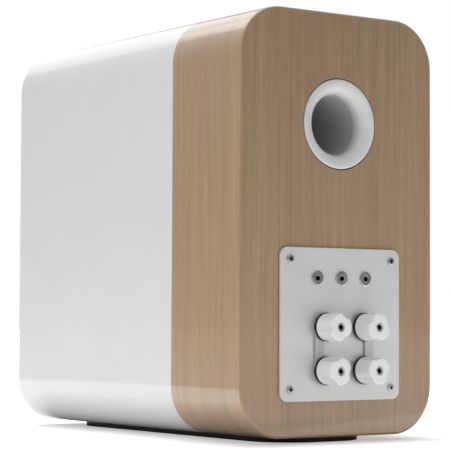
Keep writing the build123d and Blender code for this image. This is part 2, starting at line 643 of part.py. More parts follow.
def crossover():
    """The board that sits on the post studs, with its coils, capacitors and resistors."""
    face = REAR_Y - BOARD_FACE
    back = face - BOARD_THICKNESS
    board = slab(rounded(BOARD_WIDTH, BOARD_HEIGHT, 3.0, PLATE_Z), back, face)
    for x, z in POSTS.values():
        board -= disc(STUD_RADIUS + 0.1, back - 1, face + 1, x, z)

    large = ring(17.0, 8.0, back - 22.0, back, x=-22.0, z=119.0)
    small = ring(11.0, 5.0, back - 14.0, back, x=26.0, z=77.1)
    capacitors = []
    for x, z, radius, length in ((20.0, 128.0, 8.0, 34.0), (20.0, 110.0, 6.5, 30.0),
                                 (-20.0, 77.1, 7.0, 32.0)):
        can = Pos(x, back - radius, z) * Rot(0, 90, 0) * Cylinder(radius, length)
        capacitors.append(fillet(can.edges().filter_by(GeomType.CIRCLE), 1.0))
    resistors = [Pos(x, back - 4.5, 77.1) * Box(7.0, 9.0, 26.0) for x in (1.0, 10.0)]
    resistors = [fillet(block.edges(), 0.8) for block in resistors]
    return {
        "crossover_board": board,
        "crossover_inductors": group([large, small]),
        "crossover_capacitors": group(capacitors),
        "crossover_resistors": group(resistors),
    }


def cables():
    """Two internal leads, from the crossover board to the woofer and to the tweeter."""
    board_y = REAR_Y - BOARD_FACE - BOARD_THICKNESS - 0.4
    woofer_lead = tube_along([
        (-34.0, board_y, 62.0), (-34.5, board_y - 28, 60.0), (-44.0, board_y - 72, 45.0),
        (-57.0, board_y - 124, 38.0), (-64.0, board_y - 180, 44.0),
        (-66.0, FRONT_Y + 76, 62.0), (-66.5, FRONT_Y + 56, 96.0)], CABLE_RADIUS)
    tweeter_lead = tube_along([
        (34.0, board_y, 88.0), (35.0, board_y - 26, 86.0), (46.0, board_y - 66, 70.0),
        (58.0, board_y - 118, 62.0), (62.0, board_y - 176, 82.0),
        (61.0, FRONT_Y + 66, 128.0), (60.0, FRONT_Y + 60.5, 186.0),
        (58.0, FRONT_Y + 60, 234.0), (46.0, FRONT_Y + 47, 262.0),
        (34.0, FRONT_Y + 28.4, 266.0)], CABLE_RADIUS)
    return {"woofer_cable": woofer_lead, "tweeter_cable": tweeter_lead}


def main():
    os.makedirs("parts", exist_ok=True)
    sections = (cabinet, wadding, port, terminal_plate, level_sockets, post_hardware,
                link_straps, post_caps, base, woofer_frame, woofer_moving, woofer_motor,
                tweeter, crossover, cables)
    for section in sections:
        for node, shape in section().items():
            shape.label = node
            export_step(shape, "parts/" + node + ".step")


main()
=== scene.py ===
"""Looks of a two-way bookshelf loudspeaker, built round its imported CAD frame."""

from dataclasses import dataclass, field
from enum import Enum
import logging
import math
from typing import Callable, Iterable, Sequence

import bmesh
import bpy
from mathutils import Matrix, Vector
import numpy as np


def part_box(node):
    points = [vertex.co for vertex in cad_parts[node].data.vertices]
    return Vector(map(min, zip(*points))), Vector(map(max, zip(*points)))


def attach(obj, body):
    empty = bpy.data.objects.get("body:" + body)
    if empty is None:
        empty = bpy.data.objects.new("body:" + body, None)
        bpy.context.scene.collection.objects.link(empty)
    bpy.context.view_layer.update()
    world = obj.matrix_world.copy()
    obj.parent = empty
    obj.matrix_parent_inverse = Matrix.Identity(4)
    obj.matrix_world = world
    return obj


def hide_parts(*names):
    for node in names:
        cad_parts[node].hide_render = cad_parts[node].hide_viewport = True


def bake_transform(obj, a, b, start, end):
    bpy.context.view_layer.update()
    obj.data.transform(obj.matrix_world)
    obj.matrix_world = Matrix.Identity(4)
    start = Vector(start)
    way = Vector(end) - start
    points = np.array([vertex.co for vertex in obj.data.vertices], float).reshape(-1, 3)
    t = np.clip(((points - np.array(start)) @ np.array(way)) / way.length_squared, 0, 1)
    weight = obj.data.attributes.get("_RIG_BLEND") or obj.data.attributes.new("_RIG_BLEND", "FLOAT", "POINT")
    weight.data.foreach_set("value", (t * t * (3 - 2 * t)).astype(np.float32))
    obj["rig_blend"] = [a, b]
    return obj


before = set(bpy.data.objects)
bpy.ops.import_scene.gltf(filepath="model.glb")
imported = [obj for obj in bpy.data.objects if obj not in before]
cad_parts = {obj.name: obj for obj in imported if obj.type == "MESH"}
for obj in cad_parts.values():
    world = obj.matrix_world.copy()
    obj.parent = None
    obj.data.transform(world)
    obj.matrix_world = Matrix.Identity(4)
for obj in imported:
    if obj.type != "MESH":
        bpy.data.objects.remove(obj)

LOG = logging.getLogger("loudspeaker")
MM = 0.001
SUPPORT = 0.5 * MM
Profile = Sequence[tuple[float, float]]
Loop = list[bmesh.types.BMVert]


class Body(Enum):
    """The CAD bodies that pieces ride on."""

    CABINET = "cabinet"
    WOOFER = "woofer_diaphragm"
    TWEETER = "tweeter_diaphragm"


class Pattern(Enum):
    """The surface texture that a finish carries."""

    SMOOTH = "smooth"
    BLASTED = "blasted"
    BRUSHED = "brushed"
    WOVEN = "woven"
    WOUND = "wound"
    FIBROUS = "fibrous"


class Layout(Enum):
    """How a repeated piece is spread over the object."""

    RECTANGLE = "rectangle"
    ROW = "row"
    RING = "ring"


# ---------------------------------------------------------------- shader nodes


class Graph:
    """Adds nodes to a tree and joins them."""

    def __init__(self, tree: bpy.types.NodeTree) -> None:
        """Start from an empty tree."""
        self.tree = tree
        tree.nodes.clear()

    def add(self, kind: str, **inputs: object) -> bpy.types.Node:
        """Add a node.

        Args:
            kind: the node's Blender type.
            inputs: settings of the node by name, and sockets by name with spaces as "_".

        Returns:
            The new node.
        """
        node = self.tree.nodes.new(kind)
        for name, value in inputs.items():
            if hasattr(node, name):
                setattr(node, name, value)
            else:
                self.feed(value, node.inputs[name.replace("_", " ")])
        return node

    def feed(self, value: object, socket: bpy.types.NodeSocket) -> None:
        """Link a socket to another, or set it to a plain value.

        Args:
            value: the other socket, or the value.
            socket: the input to feed.
        """
        if isinstance(value, bpy.types.NodeSocket):
            self.tree.links.new(value, socket)
        else:
            socket.default_value = value

    def ramp(self, factor: bpy.types.NodeSocket, low: float, high: float,
             start: float = 0.0, end: float = 1.0) -> bpy.types.NodeSocket:
        """Spread a factor between two values.

        Args:
            factor: the factor.
            low: where the spread starts.
            high: where it ends.
            start: the result up to low.
            end: the result from high.

        Returns:
            The result.
        """
        node = self.add("ShaderNodeMapRange", Value=factor, From_Min=low, From_Max=high,
                        To_Min=start, To_Max=end)
        return node.outputs[0]

    def mix(self, factor: object, first: object, second: object,
            blend: str = "MIX") -> bpy.types.NodeSocket:
        """Mix two colours.

        Args:
            factor: the share of the second colour.
            first: a colour or its socket.
            second: the other one.
            blend: how they mix.

        Returns:
            The mixed colour.
        """
        node = self.tree.nodes.new("ShaderNodeMix")
        node.data_type, node.blend_type = "RGBA", blend
        for value, index in ((factor, 0), (first, 6), (second, 7)):
            self.feed(value, node.inputs[index])
        return node.outputs[2]

    def math(self, operation: str, first: object, second: object = 0.0) -> bpy.types.NodeSocket:
        """Work out a sum on two values.

        Args:
            operation: the Math node's operation.
            first: a value or its socket.
            second: the other one.

        Returns:
            The result.
        """
        node = self.tree.nodes.new("ShaderNodeMath")
        node.operation = operation
        self.feed(first, node.inputs[0])
        self.feed(second, node.inputs[1])
        return node.outputs[0]

    def scaled(self, vector: bpy.types.NodeSocket, scale: Sequence[float]) -> bpy.types.NodeSocket:
        """Stretch a vector along each axis.

        Args:
            vector: the vector.
            scale: how much along X, Y and Z.

        Returns:
            The stretched vector.
        """
        node = self.add("ShaderNodeMapping", Vector=vector)
        node.inputs["Scale"].default_value = scale
        return node.outputs[0]

    def noise(self, vector: bpy.types.NodeSocket, scale: object, detail: float = 2.0,
              roughness: float = 0.5) -> bpy.types.NodeSocket:
        """Make a noise value between 0 and 1.

        Args:
            vector: where it is read.
            scale: how fine it is.
            detail: how many finer layers it has.
            roughness: how strong they are.

        Returns:
            The value.
        """
        node = self.add("ShaderNodeTexNoise", Vector=vector, Scale=scale, Detail=detail,
                        Roughness=roughness)
        return node.outputs[0]


def shader_group(name: str, inputs: dict[str, tuple[str, float]],
                 outputs: dict[str, str]) -> tuple[bpy.types.NodeTree, Graph]:
    """Start a shader group with named sockets.

    Args:
        name: the group's name.
        inputs: socket names with their kind and starting value.
        outputs: socket names with their kind.

    Returns:
        The group and the graph that fills it.
    """
    tree = bpy.data.node_groups.new(name, "ShaderNodeTree")
    for label, (kind, value) in inputs.items():
        socket = tree.interface.new_socket(label, in_out="INPUT", socket_type="NodeSocket" + kind)
        if kind == "Float":
            socket.default_value = value
    for label, kind in outputs.items():
        tree.interface.new_socket(label, in_out="OUTPUT", socket_type="NodeSocket" + kind)
    return tree, Graph(tree)


class Groups:
    """Shader groups that several materials share, each built once."""

    made: dict[str, bpy.types.NodeTree] = {}

    @classmethod
    def unevenness(cls) -> bpy.types.NodeTree:
        """Slow and fine unevenness of a made surface: tone, roughness and height.

        Returns:
            The group.
        """
        if "unevenness" not in cls.made:
            tree, graph = shader_group(
                "unevenness",
                {"Scale": ("Float", 60.0), "Smoothest": ("Float", 0.2), "Roughest": ("Float", 0.4)},
                {"Tone": "Float", "Roughness": "Float", "Height": "Float"})
            given = graph.add("NodeGroupInput")
            place = graph.add("ShaderNodeTexCoord").outputs["Object"]
            slow = graph.noise(place, given.outputs["Scale"], 3.0)
            fine = graph.noise(place, graph.math("MULTIPLY", given.outputs["Scale"], 14.0), 2.0)
            smooth = graph.add("ShaderNodeMapRange", Value=slow, From_Min=0.3, From_Max=0.7,
                               To_Min=given.outputs["Smoothest"], To_Max=given.outputs["Roughest"])
            out = graph.add("NodeGroupOutput")
            graph.feed(slow, out.inputs["Tone"])
            graph.feed(smooth.outputs[0], out.inputs["Roughness"])
            graph.feed(graph.math("ADD", graph.math("MULTIPLY", slow, 0.3), fine),
                       out.inputs["Height"])
            cls.made["unevenness"] = tree
        return cls.made["unevenness"]

    @classmethod
    def dust(cls) -> bpy.types.NodeTree:
        """A thin, broken film of dust on surfaces that face up.

        Returns:
            The group.
        """
        if "dust" not in cls.made:
            tree, graph = shader_group("dust", {"Amount": ("Float", 0.1)}, {"Mask": "Float"})
            given = graph.add("NodeGroupInput")
            place = graph.add("ShaderNodeTexCoord").outputs["Object"]
            specks = graph.ramp(graph.noise(place, 900.0, 2.0), 0.55, 0.75)
            film = graph.ramp(graph.noise(place, 22.0, 4.0), 0.35, 0.75)
            upward = graph.add("ShaderNodeSeparateXYZ",
                               Vector=graph.add("ShaderNodeNewGeometry").outputs["Normal"])
            facing = graph.ramp(upward.outputs["Z"], -0.2, 1.0, 0.15, 1.0)
            both = graph.math("MULTIPLY", graph.math("MAXIMUM", specks, film), facing)
            out = graph.add("NodeGroupOutput")
            graph.feed(graph.math("MULTIPLY", both, given.outputs["Amount"]), out.inputs["Mask"])
            cls.made["dust"] = tree
        return cls.made["dust"]

    @classmethod
    def grain(cls) -> bpy.types.NodeTree:
        """Straight, fine wood grain: X of the vector crosses the grain, Z follows it.

        Returns:
            The group.
        """
        if "grain" not in cls.made:
            tree, graph = shader_group(
                "grain",
                {"Vector": ("Vector", 0.0), "Light": ("Color", 0.0), "Dark": ("Color", 0.0),
                 "Warm": ("Color", 0.0), "Leaf Width": ("Float", 0.0395)},
                {"Color": "Color", "Roughness": "Float", "Height": "Float"})
            given = graph.add("NodeGroupInput")
            place = given.outputs["Vector"]
            bands = graph.noise(graph.scaled(place, (150.0, 150.0, 2.2)), 1.0, 3.0, 0.6)
            streaks = graph.noise(graph.scaled(place, (620.0, 620.0, 11.0)), 1.0, 4.0, 0.75)
            pores = graph.noise(graph.scaled(place, (2600.0, 2600.0, 70.0)), 1.0, 1.0, 0.5)
            clouds = graph.noise(graph.scaled(place, (75.0, 75.0, 4.0)), 1.0, 2.0, 0.5)
            across = graph.add("ShaderNodeSeparateXYZ", Vector=place).outputs["X"]
            leaf = graph.math("DIVIDE", across, given.outputs["Leaf Width"])
            leaf = graph.math("ADD", leaf, 0.5)
            number = graph.math("FLOOR", leaf)
            tint = graph.add("ShaderNodeTexWhiteNoise", noise_dimensions="1D")
            graph.feed(number, tint.inputs["W"])
            joint = graph.math("ABSOLUTE", graph.math("SUBTRACT", graph.math("FRACT", leaf), 0.5))
            joint = graph.ramp(joint, 0.4915, 0.4975)
            broken = graph.ramp(graph.noise(graph.scaled(place, (3.0, 3.0, 9.0)), 1.0, 2.0),
                                0.36, 0.56, 0.2, 1.0)
            joint = graph.math("MULTIPLY", joint, broken)
            tone = graph.math("ADD", graph.math("MULTIPLY", bands, 0.4),
                              graph.math("MULTIPLY", streaks, 0.6))
            colour = graph.mix(graph.ramp(tone, 0.38, 0.62), given.outputs["Dark"],
                               given.outputs["Light"])
            colour = graph.mix(graph.ramp(clouds, 0.38, 0.66, 0.0, 0.6), colour,
                               given.outputs["Warm"])
            shade = graph.ramp(tint.outputs["Value"], 0.0, 1.0, 0.955, 1.03)
            shade = graph.math("MULTIPLY", shade, graph.ramp(pores, 0.56, 0.74, 1.0, 0.84))
            shade = graph.math("MULTIPLY", shade, graph.math(
                "SUBTRACT", 1.0, graph.math("MULTIPLY", joint, 0.5)))
            grey = graph.add("ShaderNodeCombineColor", Red=shade, Green=shade, Blue=shade)
            out = graph.add("NodeGroupOutput")
            graph.feed(graph.mix(1.0, colour, grey.outputs[0], "MULTIPLY"), out.inputs["Color"])
            graph.feed(graph.ramp(streaks, 0.3, 0.7, 0.42, 0.3), out.inputs["Roughness"])
            graph.feed(graph.math("SUBTRACT", graph.math("MULTIPLY", pores, -0.6), joint),
                       out.inputs["Height"])
            cls.made["grain"] = tree
        return cls.made["grain"]


# -------------------------------------------------------------------- finishes


@dataclass(frozen=True)
class Finish:
    """A surface finish, made into one procedural material.

    Args:
        slot: the record's material slot.
        colour: base colour, linear.
        smoothest: the lowest roughness.
        roughest: the highest roughness.
        metallic: 1 for bare metal.
        coat: weight of a clear coat.
        tone: how far the colour varies, as a share.
        bump: height of the fine relief, in metres.
        scale: how fine the unevenness is.
        dust: how much dust lies on it.
        specular: strength of the plain reflection, 0.5 for common materials.
        pattern: the surface texture.
        label: tells finishes of one slot apart.
    """

    slot: str
    colour: tuple[float, float, float]
    smoothest: float = 0.3
    roughest: float = 0.45
    metallic: float = 0.0
    coat: float = 0.0
    tone: float = 0.06
    bump: float = 0.02 * MM
    scale: float = 60.0
    dust: float = 0.05
    specular: float = 0.5
    pattern: Pattern = Pattern.SMOOTH
    label: str = ""

    @property
    def name(self) -> str:
        """The material's name."""
        return "_".join(filter(None, ("finish", self.slot, self.label)))

    def material(self) -> bpy.types.Material:
        """Build the material once.

        Returns:
            The material, or the one that was built before.
        """
        if self.name in bpy.data.materials:
            return bpy.data.materials[self.name]
        material = bpy.data.materials.new(self.name)
        material.use_nodes = True
        graph = Graph(material.node_tree)
        shader = graph.add("ShaderNodeBsdfPrincipled")
        shader.inputs["Metallic"].default_value = self.metallic
        shader.inputs["Specular IOR Level"].default_value = self.specular
        if self.coat:
            shader.inputs["Coat Weight"].default_value = self.coat
            shader.inputs["Coat Roughness"].default_value = 0.03
        self.dress(graph, shader)
        out = graph.add("ShaderNodeOutputMaterial")
        graph.feed(shader.outputs[0], out.inputs["Surface"])
        return material

    def dress(self, graph: Graph, shader: bpy.types.Node) -> None:
        """Feed the shader's colour, roughness and normal.

        Args:
            graph: the material's graph.
            shader: its shader.
        """
        surface = graph.add("ShaderNodeGroup", node_tree=Groups.unevenness())
        surface.inputs["Scale"].default_value = self.scale
        surface.inputs["Smoothest"].default_value = self.smoothest
        surface.inputs["Roughest"].default_value = self.roughest
        dark = tuple(c * (1 - self.tone) for c in self.colour) + (1.0,)
        light = tuple(min(1.0, c * (1 + self.tone)) for c in self.colour) + (1.0,)
        colour = graph.mix(graph.ramp(surface.outputs["Tone"], 0.3, 0.7), dark, light)
        colour, height = self.textured(graph, colour, surface.outputs["Height"])
        # Painted shade: where the recess attribute is set, the colour goes towards near black, standing in
        # for the shade inside holes and pockets.
        recess = graph.add("ShaderNodeAttribute", attribute_name="recess").outputs["Fac"]
        colour = graph.mix(recess, colour, (0.006, 0.006, 0.006, 1.0))
        if self.dust:
            dust = graph.add("ShaderNodeGroup", node_tree=Groups.dust())
            dust.inputs["Amount"].default_value = self.dust
            colour = graph.mix(dust.outputs["Mask"], colour, (0.6, 0.59, 0.57, 1.0))
        graph.feed(colour, shader.inputs["Base Color"])
        graph.feed(surface.outputs["Roughness"], shader.inputs["Roughness"])
        relief = graph.add("ShaderNodeBump", Height=height, Strength=1.0, Distance=self.bump)
        graph.feed(relief.outputs[0], shader.inputs["Normal"])

    def textured(self, graph: Graph, colour: bpy.types.NodeSocket,
                 height: bpy.types.NodeSocket) -> tuple[bpy.types.NodeSocket,
                                                        bpy.types.NodeSocket]:
        """Add the finish's pattern to its colour and height.

        Args:
            graph: the material's graph.
            colour: the colour so far.
            height: the height so far.

        Returns:
            The new colour and height.
        """
        place = graph.add("ShaderNodeTexCoord").outputs["Object"]
        if self.pattern is Pattern.BLASTED:
            grit = graph.noise(place, 2600.0, 2.0, 0.7)
            return graph.mix(graph.ramp(grit, 0.35, 0.65, 0.0, 0.12), colour,
                             (0.25, 0.25, 0.26, 1.0)), graph.math("ADD", height, grit)
        if self.pattern is Pattern.BRUSHED:
            lines = graph.noise(graph.scaled(place, (60.0, 4000.0, 60.0)), 1.0, 2.0, 0.7)
            return graph.mix(graph.ramp(lines, 0.3, 0.7, 0.0, 0.18), colour,
                             (0.12, 0.12, 0.12, 1.0)), graph.math("ADD", height, lines)
        if self.pattern is Pattern.WOVEN:
            waves = [graph.add("ShaderNodeTexWave", Vector=place, Scale=190.0, Distortion=0.4,
                               wave_type="BANDS", bands_direction=axis).outputs["Fac"]
                     for axis in ("X", "Z")]
            weave = graph.math("MULTIPLY", waves[0], waves[1])
            return graph.mix(graph.ramp(weave, 0.1, 0.6, 0.55, 0.0), colour,
                             (0.004, 0.004, 0.005, 1.0)), graph.math("ADD", height, weave)
        if self.pattern is Pattern.WOUND:
            turns = graph.add("ShaderNodeTexWave", Vector=place, Scale=320.0, Distortion=0.0,
                              wave_type="BANDS", bands_direction="Y").outputs["Fac"]
            return graph.mix(graph.ramp(turns, 0.0, 1.0, 0.7, 0.0), colour,
                             (0.05, 0.02, 0.01, 1.0)), graph.math("ADD", height, turns)
        if self.pattern is Pattern.FIBROUS:
            fibres = graph.noise(graph.scaled(place, (700.0, 260.0, 700.0)), 1.0, 5.0, 0.8)
            return graph.mix(graph.ramp(fibres, 0.3, 0.7, 0.35, 0.0), colour,
                             tuple(c * 0.4 for c in self.colour) + (1.0,)), \
                graph.math("ADD", height, fibres)
        return colour, height


@dataclass(frozen=True)
class Veneer(Finish):
    """Light wood veneer under a deep gloss lacquer.

    Args:
        light: colour of the light grain, linear.
        dark: colour of the dark grain.
        warm: colour of the redder clouds.
        joints: width of the strips of veneer.
        wraps: whether the grain follows the rounded shell, or stays upright on its flat back.
    """

    light: tuple[float, float, float] = (0.520, 0.365, 0.222)
    dark: tuple[float, float, float] = (0.370, 0.248, 0.138)
    warm: tuple[float, float, float] = (0.455, 0.282, 0.182)
    joints: float = 0.0395
    wraps: bool = True

    def material(self) -> bpy.types.Material:
        """Build the veneer for one side of the shell, once.

        Returns:
            The material.
        """
        if self.name in bpy.data.materials:
            return bpy.data.materials[self.name]
        material = bpy.data.materials.new(self.name)
        material.use_nodes = True
        graph = Graph(material.node_tree)
        place = graph.add("ShaderNodeTexCoord").outputs["Object"]
        if self.wraps:
            parts = graph.add("ShaderNodeSeparateXYZ", Vector=place)
            along = graph.math("SUBTRACT", parts.outputs["Z"], parts.outputs["X"])
            turned = graph.add("ShaderNodeCombineXYZ", X=parts.outputs["Y"], Y=0.37, Z=along)
            place = turned.outputs[0]
        grain = graph.add("ShaderNodeGroup", node_tree=Groups.grain())
        graph.feed(place, grain.inputs["Vector"])
        grain.inputs["Leaf Width"].default_value = self.joints
        for label, colour in (("Light", self.light), ("Dark", self.dark), ("Warm", self.warm)):
            grain.inputs[label].default_value = colour + (1.0,)
        shader = graph.add("ShaderNodeBsdfPrincipled")
        shader.inputs["Coat Weight"].default_value = self.coat
        shader.inputs["Coat Roughness"].default_value = 0.04
        graph.feed(grain.outputs["Color"], shader.inputs["Base Color"])
        graph.feed(grain.outputs["Roughness"], shader.inputs["Roughness"])
        relief = graph.add("ShaderNodeBump", Height=grain.outputs["Height"], Strength=0.5,
                           Distance=self.bump)
        graph.feed(relief.outputs[0], shader.inputs["Normal"])
        out = graph.add("ShaderNodeOutputMaterial")
        graph.feed(shader.outputs[0], out.inputs["Surface"])
        return material


WHITE_LACQUER = Finish("gloss_white_lacquer", (0.835, 0.835, 0.835), 0.10, 0.16, coat=0.3,
                       tone=0.012, bump=0.004 * MM, scale=25.0, dust=0.03, specular=0.25)
OAK_WRAP = Veneer("oak_veneer", (0.45, 0.33, 0.22), coat=0.9, bump=0.02 * MM, label="wrap",
                  light=(0.525, 0.360, 0.210), dark=(0.375, 0.245, 0.130),
                  warm=(0.455, 0.275, 0.168), joints=10.0)
OAK_BACK = Veneer("oak_veneer", (0.45, 0.33, 0.22), coat=0.9, bump=0.02 * MM, label="back",
                  wraps=False)
FIBREBOARD = Finish("bare_fibreboard", (0.30, 0.19, 0.10), 0.75, 0.9, tone=0.15,
                    bump=0.08 * MM, scale=140.0, pattern=Pattern.FIBROUS)
PORT_WHITE = Finish("white_port_plastic", (0.82, 0.82, 0.825), 0.2, 0.3, coat=0.2, tone=0.02,
                    bump=0.01 * MM, scale=90.0, dust=0.04)
# The tube is the same white port plastic as the flare, coloured darker as painted shade for the dim inside
# of the port.
DUCT_SHADED_WHITE = Finish("white_port_plastic", (0.60, 0.60, 0.605), 0.4, 0.5, tone=0.04,
                    bump=0.03 * MM, scale=120.0, dust=0.05, label="duct")
CAP_WHITE = Finish("white_cap_plastic", (0.92, 0.92, 0.92), 0.14, 0.22, coat=0.3, tone=0.01,
                   bump=0.006 * MM, scale=70.0, dust=0.02)
PLATE_METAL = Finish("satin_aluminium", (0.79, 0.79, 0.79), 0.36, 0.44, metallic=0.2,
                     tone=0.02, bump=0.006 * MM, scale=30.0, dust=0.03, pattern=Pattern.BLASTED)
NICKEL = Finish("nickel_plated_brass", (0.72, 0.71, 0.70), 0.16, 0.3, metallic=1.0, tone=0.05,
                bump=0.008 * MM, scale=180.0, dust=0.02, pattern=Pattern.BRUSHED)
LINK_METAL = Finish("nickel_plated_brass", (0.63, 0.63, 0.63), 0.3, 0.42, metallic=0.5,
                    tone=0.04, bump=0.006 * MM, scale=60.0, dust=0.02, label="link")
SCREW_STEEL = Finish("stainless_screws", (0.62, 0.62, 0.62), 0.2, 0.34, metallic=1.0, tone=0.06,
                     bump=0.008 * MM, scale=240.0, dust=0.03, pattern=Pattern.BRUSHED)
BLACK_PLASTIC = Finish("black_plastic", (0.006, 0.006, 0.006), 0.4, 0.55, tone=0.15,
                       bump=0.02 * MM, scale=220.0, dust=0.01, specular=0.25)
BLACK_FOAM = Finish("black_foam", (0.018, 0.018, 0.018), 0.8, 0.95, tone=0.3, bump=0.2 * MM,
                    scale=400.0)
BLACK_STEEL = Finish("black_steel", (0.013, 0.013, 0.014), 0.4, 0.6, tone=0.1, bump=0.05 * MM,
                     scale=320.0)
BLACK_RUBBER = Finish("black_rubber", (0.014, 0.014, 0.014), 0.5, 0.7, tone=0.15,
                      bump=0.03 * MM, scale=200.0, dust=0.1)
TRIM_METAL = Finish("trim_ring_metal", (0.62, 0.62, 0.63), 0.26, 0.36, metallic=0.9, tone=0.03,
                    bump=0.006 * MM, scale=120.0, pattern=Pattern.BLASTED)
CONE_FIBRE = Finish("cone_paper", (0.035, 0.036, 0.04), 0.34, 0.5, tone=0.1, bump=0.12 * MM,
                    scale=160.0, coat=0.2, pattern=Pattern.WOVEN)
SPIDER_CLOTH = Finish("spider_cloth", (0.42, 0.25, 0.09), 0.7, 0.85, tone=0.1, bump=0.1 * MM,
                      scale=260.0, pattern=Pattern.WOVEN)
COPPER = Finish("voice_coil_copper", (0.62, 0.24, 0.10), 0.2, 0.35, metallic=1.0, tone=0.08,
                bump=0.06 * MM, scale=200.0, pattern=Pattern.WOUND)
MOTOR_STEEL = Finish("motor_steel", (0.42, 0.42, 0.43), 0.25, 0.4, metallic=1.0, tone=0.08,
                     scale=90.0, pattern=Pattern.BRUSHED)
FERRITE = Finish("ferrite", (0.045, 0.045, 0.048), 0.55, 0.75, tone=0.15, bump=0.06 * MM,
                 scale=260.0)
TWEETER_METAL = Finish("tweeter_plate_plastic", (0.62, 0.62, 0.63), 0.26, 0.36, metallic=0.9,
                       tone=0.03, bump=0.006 * MM, scale=120.0, pattern=Pattern.BLASTED)
SILK = Finish("dome_silk", (0.02, 0.02, 0.022), 0.35, 0.5, tone=0.1, bump=0.03 * MM,
              scale=300.0, pattern=Pattern.WOVEN)
BOARD = Finish("board_green", (0.02, 0.11, 0.05), 0.25, 0.4, tone=0.2, bump=0.03 * MM,
               scale=120.0)
CAPACITOR = Finish("capacitor_sleeve", (0.33, 0.03, 0.02), 0.25, 0.4, tone=0.08, scale=90.0)
CERAMIC = Finish("resistor_ceramic", (0.72, 0.70, 0.64), 0.6, 0.8, tone=0.06, bump=0.06 * MM,
                 scale=260.0)
SHEATH = Finish("cable_sheath", (0.03, 0.03, 0.03), 0.4, 0.55, tone=0.12, scale=240.0)
WADDING = Finish("wadding_fibre", (0.72, 0.72, 0.70), 0.9, 1.0, tone=0.12, bump=1.2 * MM,
                 scale=90.0, pattern=Pattern.FIBROUS)


# ------------------------------------------------------------------ mesh tools


def circle_loop(radius: float, x: float, z: float, y: float, steps: int = 96) -> list[Vector]:
    """Points round a circle in the plane of X and Z."""
    turns = [2 * math.pi * step / steps for step in range(steps)]
    return [Vector((x + radius * math.cos(t), y, z + radius * math.sin(t))) for t in turns]


def rounded_loop(width: float, height: float, radius: float, z: float, y: float,
                 arc: int = 20) -> list[Vector]:
    """Points round a rounded rectangle in X and Z, with support points beside each corner.

    Args:
        width: size along X.
        height: size along Z.
        radius: corner radius.
        z: height of its middle.
        y: place along Y.
        arc: steps round each corner.

    Returns:
        The points, anticlockwise as seen from the front.
    """
    points = []
    reach = min(SUPPORT, radius * 0.2)
    for corner in range(4):
        start = corner * math.pi / 2
        side_x = (1, -1, -1, 1)[corner]
        side_z = (1, 1, -1, -1)[corner]
        cx, cz = side_x * (width / 2 - radius), z + side_z * (height / 2 - radius)
        first = Vector((math.cos(start), 0, math.sin(start))) * radius
        last = Vector((-math.sin(start), 0, math.cos(start))) * radius
        middle = Vector((cx, y, cz))
        points.append(middle + first - last.normalized() * reach)
        for step in range(arc + 1):
            turn = start + math.pi / 2 * step / arc
            points.append(middle + Vector((math.cos(turn), 0, math.sin(turn))) * radius)
        points.append(middle + last - first.normalized() * reach)
    return points


def add_loop(mesh: bmesh.types.BMesh, points: Iterable[Vector]) -> Loop:
    """Add a loop of points to a mesh."""
    return [mesh.verts.new(point) for point in points]


def bridge(mesh: bmesh.types.BMesh, loops: Sequence[Loop]) -> None:
    """Join each loop to the next with a band of faces; a loop of one point closes to a pole.

    Args:
        mesh: the mesh.
        loops: the loops in order.
    """
    for first, second in zip(loops, loops[1:]):
        count = max(len(first), len(second))
        for step in range(count):
            after = (step + 1) % count
            ring = [first[step % len(first)], first[after % len(first)],
                    second[after % len(second)], second[step % len(second)]]
            mesh.faces.new(list(dict.fromkeys(ring)))


def fill(mesh: bmesh.types.BMesh, loops: Sequence[Loop], material: int = 0) -> None:
    """Fill the flat face between an outline and the holes in it.

    Args:
        mesh: the mesh.
        loops: the outline and the holes.
        material: the new faces' place among the piece's materials.
    """
    edges = []
    for loop in loops:
        for first, second in zip(loop, loop[1:] + loop[:1]):
            edges.append(mesh.edges.get((first, second)) or mesh.edges.new((first, second)))
    made = bmesh.ops.triangle_fill(mesh, use_beauty=True, edges=edges)
    for item in made["geom"]:
        if isinstance(item, bmesh.types.BMFace):
            item.material_index = material


def to_object(name: str, mesh: bmesh.types.BMesh, sharp: float = 35.0) -> bpy.types.Object:
    """Turn a finished mesh into a smooth-shaded object whose hard edges stay hard.

    Args:
        name: the piece's name.
        mesh: the mesh; it is freed.
        sharp: edges that turn by more than this many degrees stay hard.

    Returns:
        The object, at the origin.
    """
    bmesh.ops.recalc_face_normals(mesh, faces=mesh.faces)
    data = bpy.data.meshes.new(name)
    mesh.to_mesh(data)
    mesh.free()
    data.shade_smooth()
    data.set_sharp_from_angle(angle=math.radians(sharp))
    piece = bpy.data.objects.new(name, data)
    bpy.context.scene.collection.objects.link(piece)
    return piece


def arc_points(centre: tuple[float, float], radii: tuple[float, float], start: float,
               end: float, steps: int = 8) -> list[tuple[float, float]]:
    """Points along a circle's or an ellipse's arc.

    Args:
        centre: its centre.
        radii: its radius along each axis.
        start: where it starts, in degrees.
        end: where it ends.
        steps: how many steps it takes.

    Returns:
        The points.
    """
    turns = [math.radians(start + (end - start) * step / steps) for step in range(steps + 1)]
    return [(centre[0] + radii[0] * math.cos(t), centre[1] + radii[1] * math.sin(t))
            for t in turns]


def supported(profile: Profile, closed: bool) -> list[tuple[float, float]]:
    """Add points beside the ends of long straight runs, so that flats shade flat.

    Args:
        profile: radius and Y of each point.
        closed: whether the last point joins the first.

    Returns:
        The profile with its new points.
    """
    result = []
    pairs = list(zip(profile, list(profile[1:]) + ([profile[0]] if closed else [])))
    reach = 0.25 * MM
    for (r0, y0), (r1, y1) in pairs:
        result.append((r0, y0))
        length = math.hypot(r1 - r0, y1 - y0)
        if length > 5 * reach:
            share = reach / length
            result.append((r0 + (r1 - r0) * share, y0 + (y1 - y0) * share))
            result.append((r1 - (r1 - r0) * share, y1 - (y1 - y0) * share))
    return result if closed else result + [profile[-1]]


